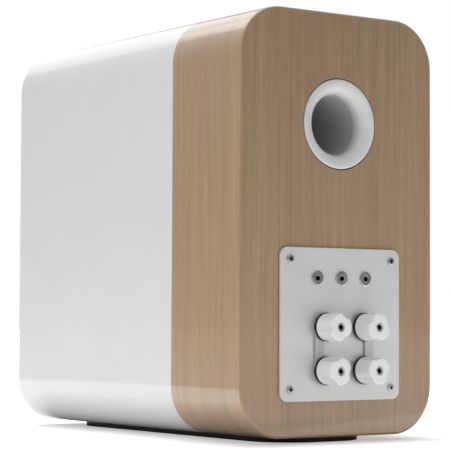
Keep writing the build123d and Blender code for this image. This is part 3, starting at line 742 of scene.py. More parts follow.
def lathe(name: str, profile: Profile, x: float, z: float, steps: int = 128,
          closed: bool = True, sharp: float = 35.0) -> bpy.types.Object:
    """Turn a profile of radius and Y about an axis along Y.

    Args:
        name: the piece's name.
        profile: its outline; a closed one is joined end to end.
        x: the axis's place along X.
        z: the axis's height.
        steps: how many faces go round.
        closed: whether the profile is a closed outline.
        sharp: the angle past which edges stay hard, in degrees.

    Returns:
        The turned piece.
    """
    mesh = bmesh.new()
    loops = []
    for radius, y in supported(profile, closed):
        points = circle_loop(radius, x, z, y, steps) if radius > 1e-7 else [Vector((x, y, z))]
        loops.append(add_loop(mesh, points))
    bridge(mesh, loops + loops[:1] if closed else loops)
    return to_object(name, mesh, sharp)


def refined(name: str, node: str, bevel: float = 0.0, segments: int = 2) -> bpy.types.Object:
    """Copy a CAD node's mesh as one merged surface, with small rounded edges.

    Args:
        name: the new piece's name.
        node: the CAD node.
        bevel: width of the rounded edges.
        segments: how many steps they have.

    Returns:
        The new piece.
    """
    mesh = bmesh.new()
    mesh.from_mesh(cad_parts[node].data)
    bmesh.ops.remove_doubles(mesh, verts=mesh.verts, dist=0.002 * MM)
    bmesh.ops.dissolve_limit(mesh, angle_limit=math.radians(0.2), verts=mesh.verts,
                             edges=mesh.edges)
    piece = to_object(name, mesh, 28.0)
    if bevel:
        modifier = piece.modifiers.new("edges", "BEVEL")
        modifier.width, modifier.segments = bevel, segments
        modifier.limit_method, modifier.angle_limit = "ANGLE", math.radians(40)
        modifier.harden_normals = True
        baked = bpy.data.meshes.new_from_object(
            piece.evaluated_get(bpy.context.evaluated_depsgraph_get()))
        piece.modifiers.clear()
        piece.data = baked
    return piece


def place(piece: bpy.types.Object, body: str, nodes: Sequence[str], *finishes: Finish) -> None:
    """Dress a piece, hand it to its body and let it stand for its CAD nodes.

    Args:
        piece: the piece.
        body: the CAD body that it rides on.
        nodes: the CAD nodes.
        finishes: its finishes, in the order of its materials.
    """
    if not piece.data.materials:
        for finish in finishes:
            piece.data.materials.append(finish.material())
    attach(piece, body)
    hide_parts(*nodes)
    LOG.info("%s: %d faces, on %s", piece.name, len(piece.data.polygons), body)


def dress(finish: Finish, *nodes: str) -> None:
    """Give carried-over CAD nodes their finish.

    Args:
        finish: the finish.
        nodes: the CAD nodes.
    """
    for node in nodes:
        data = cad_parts[node].data
        data.materials.clear()
        data.materials.append(finish.material())
        LOG.info("%s: dressed in %s", node, finish.slot)


# -------------------------------------------------------------- geometry nodes


def pattern_tree(layout: Layout) -> bpy.types.NodeTree:
    """Build the tree that repeats a piece over a rectangle, a row or a ring.

    Args:
        layout: how the copies are spread.

    Returns:
        The tree, with inputs for the piece, counts, sizes, centre, turns, seed and finish.
    """
    tree = bpy.data.node_groups.new("repeat_" + layout.value, "GeometryNodeTree")
    face = tree.interface
    face.new_socket("Geometry", in_out="INPUT", socket_type="NodeSocketGeometry")
    for label, kind in (("Piece", "Object"), ("Count", "Int"), ("Width", "Float"),
                        ("Height", "Float"), ("Centre", "Vector"), ("First Turn", "Float"),
                        ("Most Turn", "Float"), ("Seed", "Int"), ("Finish", "Material")):
        face.new_socket(label, in_out="INPUT", socket_type="NodeSocket" + kind)
    face.new_socket("Geometry", in_out="OUTPUT", socket_type="NodeSocketGeometry")
    graph = Graph(tree)
    given = graph.add("NodeGroupInput").outputs
    if layout is Layout.RECTANGLE:
        points = graph.add("GeometryNodeMeshGrid", Size_X=given["Width"], Size_Y=given["Height"],
                           Vertices_X=2, Vertices_Y=2)
    elif layout is Layout.RING:
        points = graph.add("GeometryNodeMeshCircle", Vertices=given["Count"],
                           Radius=given["Width"])
    else:
        points = graph.add("GeometryNodeMeshLine", Count=given["Count"])
        step = graph.add("ShaderNodeCombineXYZ", X=given["Width"])
        graph.feed(step.outputs[0], points.inputs["Offset"])
    turn = graph.add("ShaderNodeCombineXYZ", X=math.pi / 2, Y=given["First Turn"])
    moved = graph.add("GeometryNodeTransform", Geometry=points.outputs["Mesh"],
                      Translation=given["Centre"], Rotation=turn.outputs[0])
    shape = graph.add("GeometryNodeObjectInfo", Object=given["Piece"])
    random = graph.add("FunctionNodeRandomValue", data_type="FLOAT", Seed=given["Seed"])
    graph.feed(given["Most Turn"], random.inputs[3])
    spin = graph.add("ShaderNodeCombineXYZ", Y=random.outputs[1])
    copies = graph.add("GeometryNodeInstanceOnPoints", Points=moved.outputs[0],
                       Instance=shape.outputs["Geometry"], Rotation=spin.outputs[0])
    real = graph.add("GeometryNodeRealizeInstances", Geometry=copies.outputs[0])
    dressed = graph.add("GeometryNodeSetMaterial", Geometry=real.outputs[0],
                        Material=given["Finish"])
    out = graph.add("NodeGroupOutput")
    graph.feed(dressed.outputs[0], out.inputs["Geometry"])
    return tree


def thread_tree() -> bpy.types.NodeTree:
    """Build the tree that winds a screw thread: a ridge along a helix.

    Returns:
        The tree, with inputs for the radius, pitch, length, ridge and finish.
    """
    tree = bpy.data.node_groups.new("screw_thread", "GeometryNodeTree")
    face = tree.interface
    face.new_socket("Geometry", in_out="INPUT", socket_type="NodeSocketGeometry")
    for label, kind in (("Radius", "Float"), ("Pitch", "Float"), ("Length", "Float"),
                        ("Ridge", "Float"), ("Finish", "Material")):
        face.new_socket(label, in_out="INPUT", socket_type="NodeSocket" + kind)
    face.new_socket("Geometry", in_out="OUTPUT", socket_type="NodeSocketGeometry")
    graph = Graph(tree)
    given = graph.add("NodeGroupInput").outputs
    turns = graph.math("DIVIDE", given["Length"], given["Pitch"])
    helix = graph.add("GeometryNodeCurveSpiral", Resolution=28, Rotations=turns,
                      Start_Radius=given["Radius"], End_Radius=given["Radius"],
                      Height=given["Length"])
    ridge = graph.add("GeometryNodeCurvePrimitiveCircle", Resolution=4, Radius=given["Ridge"])
    swept = graph.add("GeometryNodeCurveToMesh", Curve=helix.outputs[0],
                      Profile_Curve=ridge.outputs[0], Fill_Caps=True)
    real = graph.add("GeometryNodeRealizeInstances", Geometry=swept.outputs[0])
    dressed = graph.add("GeometryNodeSetMaterial", Geometry=real.outputs[0],
                        Material=given["Finish"])
    out = graph.add("NodeGroupOutput")
    graph.feed(dressed.outputs[0], out.inputs["Geometry"])
    return tree


def run_tree(name: str, tree: bpy.types.NodeTree, values: dict[str, object]) -> bpy.types.Object:
    """Run a geometry tree once and keep its result as a plain mesh.

    Args:
        name: the piece's name.
        tree: the tree.
        values: its inputs by name.

    Returns:
        The piece, with no modifier left on it.
    """
    piece = bpy.data.objects.new(name, bpy.data.meshes.new(name))
    bpy.context.scene.collection.objects.link(piece)
    modifier = piece.modifiers.new("tree", "NODES")
    modifier.node_group = tree
    sockets = {item.name: item.identifier for item in tree.interface.items_tree
               if item.in_out == "INPUT"}
    for label, value in values.items():
        modifier[sockets[label]] = value
    bpy.context.view_layer.update()
    result = bpy.data.meshes.new_from_object(
        piece.evaluated_get(bpy.context.evaluated_depsgraph_get()))
    piece.modifiers.clear()
    piece.data = result
    result.name = name
    return piece


def repeated(name: str, template: bpy.types.Object, layout: Layout, finish: Finish,
             centre: Sequence[float], width: float, height: float = 0.0, count: int = 4,
             first_turn: float = 0.0, most_turn: float = 0.0) -> bpy.types.Object:
    """Repeat a template, modelled about the origin, over a layout.

    Args:
        name: the piece's name.
        template: the shape to repeat; it is removed afterwards.
        layout: how the copies are spread.
        finish: their finish.
        centre: the middle of a rectangle or ring, or the first place of a row.
        width: a rectangle's width, a row's step or a ring's radius.
        height: a rectangle's height.
        count: how many copies a row or ring has.
        first_turn: where a ring starts, in radians.
        most_turn: copies turn about Y by a random angle up to this.

    Returns:
        One piece that holds all copies.
    """
    piece = run_tree(name, pattern_tree(layout), {
        "Piece": template, "Count": count, "Width": width, "Height": height,
        "Centre": tuple(centre), "First Turn": first_turn, "Most Turn": most_turn, "Seed": 7,
        "Finish": finish.material()})
    bpy.data.objects.remove(template)
    piece.data.set_sharp_from_angle(angle=math.radians(35))
    return piece


def joined(name: str, parts: Sequence[bpy.types.Object]) -> bpy.types.Object:
    """Merge the meshes of several parts into one piece and remove the parts.

    Args:
        name: the piece's name.
        parts: the parts.

    Returns:
        The piece.
    """
    mesh = bmesh.new()
    for part in parts:
        mesh.from_mesh(part.data)
        bpy.data.objects.remove(part)
    return to_object(name, mesh)


def paint_recess_shade(piece: bpy.types.Object, inside: Callable[[Vector], float]) -> bpy.types.Object:
    """Mark how deep in a recess each point of a piece lies, so that its finish is darkened there with
    painted shade.

    Args:
        piece: the piece.
        inside: gives a point's depth, from 0 outside to 1 deep inside.

    Returns:
        The same piece.
    """
    # The recess attribute carries painted shade: the finish darkens towards black where it is high.
    marks = piece.data.attributes.new("recess", "FLOAT", "POINT")
    for vertex, mark in zip(piece.data.vertices, marks.data):
        mark.value = min(1.0, max(0.0, inside(vertex.co)))
    return piece


def hexagon_loop(across_flats: float, x: float, z: float, y: float) -> list[Vector]:
    """Points round a hexagon in X and Z, with its corners."""
    return circle_loop(across_flats / math.sqrt(3), x, z, y, 6)


def socket_screw(shank: float, length: float, head: float, height: float, socket: float,
                 outward: int) -> bpy.types.Object:
    """Model a button-head screw with a hexagon socket, its seat at the origin.

    Args:
        shank: radius of the shank.
        length: length of the shank.
        head: radius of the head.
        height: height of the head.
        socket: width across the flats of the socket.
        outward: 1 if the head points along +Y, -1 along -Y.

    Returns:
        The template screw.
    """
    mesh = bmesh.new()
    crown = height * 0.55
    profile = [(shank * 0.7, -length), (shank, -length + 0.4 * MM), (shank, -0.1 * MM),
               (shank, 0.0), (head - 0.15 * MM, 0.0), (head, 0.15 * MM), (head, height - crown)]
    profile += arc_points((head - crown, height - crown), (crown, crown), 15, 90, 6)
    profile.append((socket * 0.5 + (head - crown) * 0.36, height))
    loops = [add_loop(mesh, circle_loop(r, 0, 0, outward * y, 48)) for r, y in profile]
    bridge(mesh, loops)
    fill(mesh, loops[:1])
    rim = add_loop(mesh, hexagon_loop(socket, 0, 0, outward * height))
    ledge = add_loop(mesh, hexagon_loop(socket * 0.96, 0, 0, outward * (height - 0.06 * MM)))
    floor = add_loop(mesh, hexagon_loop(socket * 0.96, 0, 0, outward * height * 0.3))
    fill(mesh, [loops[-1], rim])
    bridge(mesh, [rim, ledge, floor])
    mesh.faces.new(floor)
    piece = to_object("screw_template", mesh, 30.0)
    # Painted shade: the hex socket's pocket is darkened towards near black.
    return paint_recess_shade(piece, lambda co: float(
        math.hypot(co.x, co.z) < socket * 0.575 and 0 < co.y * outward < height - 0.03 * MM))


def flex(piece: bpy.types.Object, body: str, finish: Finish, node: str, inner: float,
         outer: float, z: float) -> None:
    """Let a ring bend between the cabinet at its outer edge and a diaphragm at its inner edge.

    Args:
        piece: the ring.
        body: the diaphragm's body.
        finish: the ring's finish.
        node: the CAD node it stands for.
        inner: radius up to which it follows the diaphragm.
        outer: radius from which it stays with the cabinet.
        z: height of its axis.
    """
    piece.data.materials.clear()
    piece.data.materials.append(finish.material())
    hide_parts(node)
    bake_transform(piece, Body.CABINET.value, body, (outer, 0, z), (inner, 0, z))
    weights = piece.data.attributes["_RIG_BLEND"].data
    for vertex, weight in zip(piece.data.vertices, weights):
        radius = math.hypot(vertex.co.x, vertex.co.z - z)
        share = min(1.0, max(0.0, (outer - radius) / (outer - inner)))
        weight.value = share * share * (3 - 2 * share)
    LOG.info("%s: %d faces, bends from cabinet to %s", piece.name,
             len(piece.data.polygons), body)


# ------------------------------------------------------------------- the parts


@dataclass
class Cabinet:
    """The white front shell, the veneered rear shell, the baffle and what is inside.

    Args:
        corner: radius of the four long corners.
        wall: thickness of the walls.
        front_edge: radius of the front edge.
        rear_edge: radius of the rear edge.
        seam_break: radius of the two edges that meet at the seam.
        rear_panel: thickness of the rear panel.
        port_seat: radius and depth of the recess for the port.
        port_hole: radius of the hole for the port.
        cutout: width, height and corner of the hole behind the terminal plate.
        glue: gap round the baffle.
        woofer_rebate: radius and depth of the woofer's rebate.
        woofer_hole: radius of the woofer's hole.
        tweeter_rebate: radius and depth of the tweeter's rebate.
        tweeter_hole: radius of the tweeter's hole.
    """

    corner: float = 40 * MM
    wall: float = 12 * MM
    front_edge: float = 3 * MM
    rear_edge: float = 2.2 * MM
    seam_break: float = 0.3 * MM
    rear_panel: float = 16 * MM
    port_seat: tuple[float, float] = (38.1 * MM, 3 * MM)
    port_hole: float = 30.8 * MM
    cutout: tuple[float, float, float] = (86 * MM, 94 * MM, 8 * MM)
    glue: float = 0.1 * MM
    woofer_rebate: tuple[float, float] = (82.3 * MM, 5.5 * MM)
    woofer_hole: float = 72 * MM
    tweeter_rebate: tuple[float, float] = (52.3 * MM, 4 * MM)
    tweeter_hole: float = 38 * MM
    front_y: float = field(init=False)
    seam_y: float = field(init=False)
    rear_y: float = field(init=False)
    width: float = field(init=False)
    height: float = field(init=False)
    middle_z: float = field(init=False)
    port_z: float = field(init=False)
    plate_z: float = field(init=False)
    woofer_z: float = field(init=False)
    tweeter_z: float = field(init=False)

    def __post_init__(self) -> None:
        """Read the cabinet's place from the CAD frame."""
        low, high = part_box("front_cabinet_shell")
        self.front_y, self.seam_y = low.y, high.y
        self.rear_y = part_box("rear_cabinet_shell")[1].y
        self.width, self.height = high.x - low.x, high.z - low.z
        self.middle_z = (low.z + high.z) / 2
        self.port_z = middle("port_flare").z
        self.plate_z = middle("terminal_plate").z
        self.woofer_z = middle("woofer_trim_ring").z
        self.tweeter_z = middle("tweeter_faceplate").z

    def outline(self, inset: float, y: float) -> list[Vector]:
        """The cabinet's outline, set in by some distance."""
        return rounded_loop(self.width - 2 * inset, self.height - 2 * inset,
                            self.corner - inset, self.middle_z, y)

    def rounding(self, radius: float, y: float, outward: int) -> list[list[Vector]]:
        """Loops round an outer edge, from the side to the flat face.

        Args:
            radius: radius of the edge.
            y: place of the flat face.
            outward: which way the face points along Y.

        Returns:
            The loops of points.
        """
        turns = [math.pi / 2 * step / 6 for step in range(7)]
        loops = [self.outline(radius * (1 - math.cos(t)),
                              y - outward * radius * (1 - math.sin(t))) for t in turns]
        reach = min(SUPPORT, radius)
        return [self.outline(0.0, y - outward * (radius + reach))] + loops + \
            [self.outline(radius + reach, y)]

    def hole(self, mesh: bmesh.types.BMesh, loops: Sequence[list[Vector]]) -> tuple[Loop, Loop]:
        """Add the wall of a hole.

        Args:
            mesh: the mesh.
            loops: the points round the hole, from its mouth inwards.

        Returns:
            Its first and last loop.
        """
        added = [add_loop(mesh, loop) for loop in loops]
        bridge(mesh, added)
        return added[0], added[-1]

    def round_hole(self, mesh: bmesh.types.BMesh, z: float, y: float, outward: int,
                   steps: Sequence[tuple[float, float]]) -> tuple[Loop, Loop]:
        """Add a stepped round hole whose mouth has a small broken edge.

        Args:
            mesh: the mesh.
            z: height of the axis.
            y: place of the face that it opens in.
            outward: which way that face points along Y.
            steps: radius and depth at each corner of the hole's wall.

        Returns:
            Its first and last loop.
        """
        small = 0.25 * MM
        mouth = steps[0][0]
        radii = [(mouth + small + SUPPORT, 0.0), (mouth + small, 0.0),
                 (mouth + small * 0.3, small * 0.3), (mouth, small)] + list(steps)
        return self.hole(mesh, [circle_loop(r, 0, z, y - outward * depth) for r, depth in radii])

    def shell(self, mesh: bmesh.types.BMesh, face_y: float, edge: float,
              outward: int) -> tuple[Loop, Loop]:
        """Add a shell's outer side from its seam to its flat face.

        Args:
            mesh: the mesh.
            face_y: place of the flat face.
            edge: radius of its edge.
            outward: which way the face points along Y.

        Returns:
            The loop at the seam's inner edge and the loop on the flat face.
        """
        small = self.seam_break
        seam = self.seam_y
        loops = [self.outline(self.wall, seam), self.outline(small + SUPPORT, seam),
                 self.outline(small, seam),
                 self.outline(small * 0.3, seam + outward * small * 0.3),
                 self.outline(0.0, seam + outward * small),
                 self.outline(0.0, seam + outward * (small + SUPPORT))]
        loops += self.rounding(edge, face_y, outward)
        added = [add_loop(mesh, loop) for loop in loops]
        bridge(mesh, added)
        return added[0], added[-1]

    def bare(self, mesh: bmesh.types.BMesh, start: float, end: float, material: int) -> None:
        """Leave the inner faces between two places along Y as bare board.

        Args:
            mesh: the shell.
            start: where the bare faces start.
            end: where they end.
            material: the board's place among the shell's materials.
        """
        wide, tall = self.width / 2 - self.corner, self.height / 2 - self.corner
        for face in mesh.faces:
            spot = face.calc_center_median()
            past = Vector((abs(spot.x) - wide, abs(spot.z - self.middle_z) - tall))
            if math.hypot(max(past.x, 0), max(past.y, 0)) < self.corner - self.wall / 2 and \
                    start < spot.y < end:
                face.material_index = material

    def front_shell(self) -> None:
        """Build the white shell."""
        mesh = bmesh.new()
        first, last = self.shell(mesh, self.front_y, self.front_edge, -1)
        rim = add_loop(mesh, self.outline(self.wall, self.front_y))
        bridge(mesh, [last, rim, first])
        self.bare(mesh, self.front_y + MM, self.seam_y + MM, 1)
        place(to_object("front_shell", mesh), Body.CABINET.value, ["front_cabinet_shell"],
              WHITE_LACQUER, FIBREBOARD)

    def rear_shell(self) -> None:
        """Build the veneered shell with its holes."""
        mesh = bmesh.new()
        first, last = self.shell(mesh, self.rear_y, self.rear_edge, 1)
        seat, depth = self.port_seat
        port = self.round_hole(mesh, self.port_z, self.rear_y, 1, [
            (seat, depth), (self.port_hole, depth), (self.port_hole, self.rear_panel)])
        width, height, corner = self.cutout
        window = self.hole(mesh, [
            rounded_loop(width, height, corner, self.plate_z, y, 8)
            for y in (self.rear_y, self.rear_y - self.rear_panel)])
        inner = add_loop(mesh, self.outline(self.wall, self.rear_y - self.rear_panel))
        bridge(mesh, [inner, first])
        fill(mesh, [inner, port[1], window[1]])
        fill(mesh, [last, port[0], window[0]], 1)
        self.bare(mesh, self.seam_y - MM, self.rear_y - 0.2 * MM, 2)
        place(to_object("rear_shell", mesh), Body.CABINET.value, ["rear_cabinet_shell"],
              OAK_WRAP, OAK_BACK, FIBREBOARD)

    def baffle(self) -> None:
        """Build the front baffle with its rebates and holes."""
        mesh = bmesh.new()
        low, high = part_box("front_baffle")
        thick = high.y - low.y
        inset, small = self.wall + self.glue, 0.2 * MM
        loops = [add_loop(mesh, self.outline(inset + i, self.front_y + d)) for i, d in (
            (small + SUPPORT, 0.0), (small, 0.0), (small * 0.3, small * 0.3), (0.0, small),
            (0.0, small + SUPPORT), (0.0, thick))]
        bridge(mesh, loops)
        holes = []
        for z, (rebate, depth), hole in (
                (self.woofer_z, self.woofer_rebate, self.woofer_hole),
                (self.tweeter_z, self.tweeter_rebate, self.tweeter_hole)):
            holes.append(self.round_hole(mesh, z, self.front_y, -1, [
                (rebate, depth), (hole, depth), (hole, thick)]))
        fill(mesh, [loops[0]] + [hole[0] for hole in holes])
        fill(mesh, [loops[-1]] + [hole[1] for hole in holes])
        place(to_object("baffle", mesh), Body.CABINET.value, ["front_baffle"], WHITE_LACQUER)

    def wadding(self) -> None:
        """Build the soft pad behind the tweeter."""
        low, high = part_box("acoustic_wadding")
        width, height, z = high.x - low.x, high.z - low.z, (low.z + high.z) / 2
        steps, slope, corner, swell = 24, 14 * MM, 22 * MM, 0.6 * MM
        mesh = bmesh.new()
        loops = []
        for step in range(steps + 1):
            share = step / steps
            bulge = 1 - abs(2 * share - 1) ** 4
            inset = (1 - bulge) * slope
            points = rounded_loop(width - 2 * inset, height - 2 * inset, corner - inset, z,
                                  low.y + (high.y - low.y) * share)
            for index, point in enumerate(points):
                ripple = math.sin(index * 0.9 + step * 0.7) + math.sin(index * 0.31 - step * 1.3)
                centre = Vector((0, point.y, z))
                point += (centre - point).normalized() * (swell * (2 + ripple))
            loops.append(add_loop(mesh, points))
        bridge(mesh, loops)
        fill(mesh, loops[:1])
        fill(mesh, loops[-1:])
        piece = to_object("wadding", mesh, sharp=80.0)
        place(piece, Body.CABINET.value, ["acoustic_wadding"], WADDING)

    def build(self) -> None:
        """Build and dress the cabinet."""
        self.front_shell()
        self.rear_shell()
        self.baffle()
        self.wadding()
        dress(FIBREBOARD, "seam_collar", "cabinet_brace")


@dataclass
class ReflexPort:
    """The white flare in the back and the tube behind it.

    Args:
        rim: outer radius of the lip.
        crest: radius at which the lip is highest.
        lip: how far the lip rounds over.
        seat: how deep the lip's underside lies in the back.
        throat: inner radius of the tube.
        flare_depth: how far in the flare becomes the throat.
        socket: outer radius of the part in the wall.
        socket_depths: where the tube's seat starts and ends.
        tube_wall: thickness of the tube.
        bell: outer radius of the inner mouth.
        bell_depth: length of the inner mouth.
    """

    rim: float = 37.2 * MM
    crest: float = 35.6 * MM
    lip: float = 1.0 * MM
    seat: float = 2.9 * MM
    throat: float = 25 * MM
    flare_depth: float = 9 * MM
    socket: float = 30.5 * MM
    socket_depths: tuple[float, float] = (12 * MM, 24 * MM)
    tube_wall: float = 2.5 * MM
    bell: float = 35 * MM
    bell_depth: float = 11 * MM

    def build(self) -> None:
        """Build the flare and the tube."""
        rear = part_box("rear_cabinet_shell")[1].y
        seat, lip = rear - self.seat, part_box("port_flare")[1].y
        z = middle("port_flare").z
        throat_y, (shoulder, end) = rear - self.flare_depth, self.socket_depths
        profile = arc_points((self.crest, throat_y), (self.crest - self.throat, lip - throat_y),
                             90, 180, 28)
        tube = self.throat + self.tube_wall + 0.1 * MM
        profile += [(self.throat, rear - shoulder), (tube, rear - shoulder), (tube, rear - end),
                    (self.socket, rear - end), (self.socket, seat), (self.rim, seat),
                    (self.rim, lip - self.lip)]
        profile += arc_points((self.crest, lip - self.lip),
                              (self.rim - self.crest, self.lip), 12, 78, 8)
        place(lathe("port_mouth", profile, 0, z, 192), Body.CABINET.value, ["port_flare"],
              PORT_WHITE)
        low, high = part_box("port_tube")
        flare = low.y + self.bell_depth
        wide = self.bell - self.throat
        profile = [(self.throat, high.y)] + arc_points(
            (self.bell, flare), (wide, self.bell_depth), 180, 270, 16)
        profile += arc_points((self.bell, flare), (wide - self.tube_wall,
                                                   self.bell_depth - self.tube_wall), 270, 180, 16)
        profile.append((self.throat + self.tube_wall, high.y))
        # The tube's finish carries painted shade for the dim inside of the port.
        place(lathe("port_duct", profile, 0, z, 160), Body.CABINET.value, ["port_tube"],
              DUCT_SHADED_WHITE)


@dataclass
class TerminalPlate:
    """The satin metal plate with its corner screws and three level sockets.

    Args:
        corner: radius of the plate's corners.
        chamfer: width of its broken edge.
        screw_hole: radius of the corner holes.
        screw_inset: distance of the screws from the plate's middle.
        post_hole: radius of the holes for the posts' bushes.
        socket_hole: radius of the holes for the sockets.
        socket_pitch: distance between sockets.
        bore: radius and depth of a socket's bore.
        flange: radius and height of a socket's flange.
        body: radius and length of a socket's body.
    """

    corner: float = 7.5 * MM
    chamfer: float = 0.3 * MM
    screw_hole: float = 2 * MM
    screw_inset: float = 52.8 * MM
    post_hole: float = 5.5 * MM
    socket_hole: float = 4.1 * MM
    socket_pitch: float = 25.2 * MM
    bore: tuple[float, float] = (2.05 * MM, 12 * MM)
    flange: tuple[float, float] = (6.2 * MM, 1.3 * MM)
    body: tuple[float, float] = (4 * MM, 14 * MM)
    low: Vector = field(init=False)
    high: Vector = field(init=False)
    z: float = field(init=False)
    socket_z: float = field(init=False)

    def __post_init__(self) -> None:
        """Read the plate's place from the CAD frame."""
        self.low, self.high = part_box("terminal_plate")
        self.z = middle("terminal_plate").z
        self.socket_z = middle("level_sockets").z

    def plate(self) -> None:
        """Build the plate with its holes."""
        mesh = bmesh.new()
        width, height = self.high.x - self.low.x, self.high.z - self.low.z
        face, back, small = self.high.y, self.low.y, self.chamfer
        loops = [add_loop(mesh, rounded_loop(width - 2 * i, height - 2 * i, self.corner - i,
                                             self.z, y)) for i, y in (
            (small + 0.3 * MM, face), (small, face), (small * 0.3, face - small * 0.3),
            (0.0, face - small), (0.0, back))]
        bridge(mesh, loops)
        holes = [(sx * self.screw_inset, self.z + sz * self.screw_inset, self.screw_hole)
                 for sx in (1, -1) for sz in (1, -1)]
        holes += [(*post_place(number), self.post_hole) for number in "1234"]
        holes += [(step * self.socket_pitch, self.socket_z, self.socket_hole)
                  for step in (-1, 0, 1)]
        fronts, backs = [loops[0]], [loops[-1]]
        for x, z, radius in holes:
            wall = [add_loop(mesh, circle_loop(radius, x, z, y, 48)) for y in (face, back)]
            bridge(mesh, wall)
            fronts.append(wall[0])
            backs.append(wall[1])
        fill(mesh, fronts)
        fill(mesh, backs)
        place(to_object("plate", mesh), Body.CABINET.value, ["terminal_plate"], PLATE_METAL)

    def socket(self) -> bpy.types.Object:
        """Model one level socket about the origin, its flange on the plate.

        Returns:
            The template socket.
        """
        (bore, depth), (flange, high), (body, long) = self.bore, self.flange, self.body
        small, round_edge = 0.25 * MM, 0.8 * MM
        profile = [(0.0, high - depth), (bore, high - depth), (bore, high - small),
                   (bore + 0.08 * MM, high - 0.08 * MM), (bore + small, high)]
        profile += [(flange - round_edge, high)] + arc_points(
            (flange - round_edge, high - round_edge), (round_edge, round_edge), 78, 0, 6)
        profile += [(flange, 0.0), (body, 0.0), (body, -long), (0.0, -long)]
        piece = lathe("socket_template", profile, 0, 0, 64, closed=False)
        # Painted shade: the socket's bore is darkened from its mouth inwards.
        return paint_recess_shade(piece, lambda co: (high - co.y) / (0.4 * MM)
                    if math.hypot(co.x, co.z) < bore * 1.05 else 0.0)

    def build(self) -> None:
        """Build and dress the plate's parts."""
        self.plate()
        screw = socket_screw(1.75 * MM, 15 * MM, 3.3 * MM, 1.7 * MM, 2.5 * MM, 1)
        place(repeated("plate_screws", screw, Layout.RECTANGLE, SCREW_STEEL,
                       (0, self.high.y, self.z), 2 * self.screw_inset, 2 * self.screw_inset,
                       most_turn=1.0), Body.CABINET.value, ["terminal_plate_screws"], SCREW_STEEL)
        place(repeated("link_sockets", self.socket(), Layout.ROW, NICKEL,
                       (-self.socket_pitch, self.high.y, self.socket_z), self.socket_pitch,
                       count=3), Body.CABINET.value, ["level_sockets"], NICKEL)
        dress(BLACK_FOAM, "terminal_gasket")
        dress(NICKEL, "level_socket_nuts")


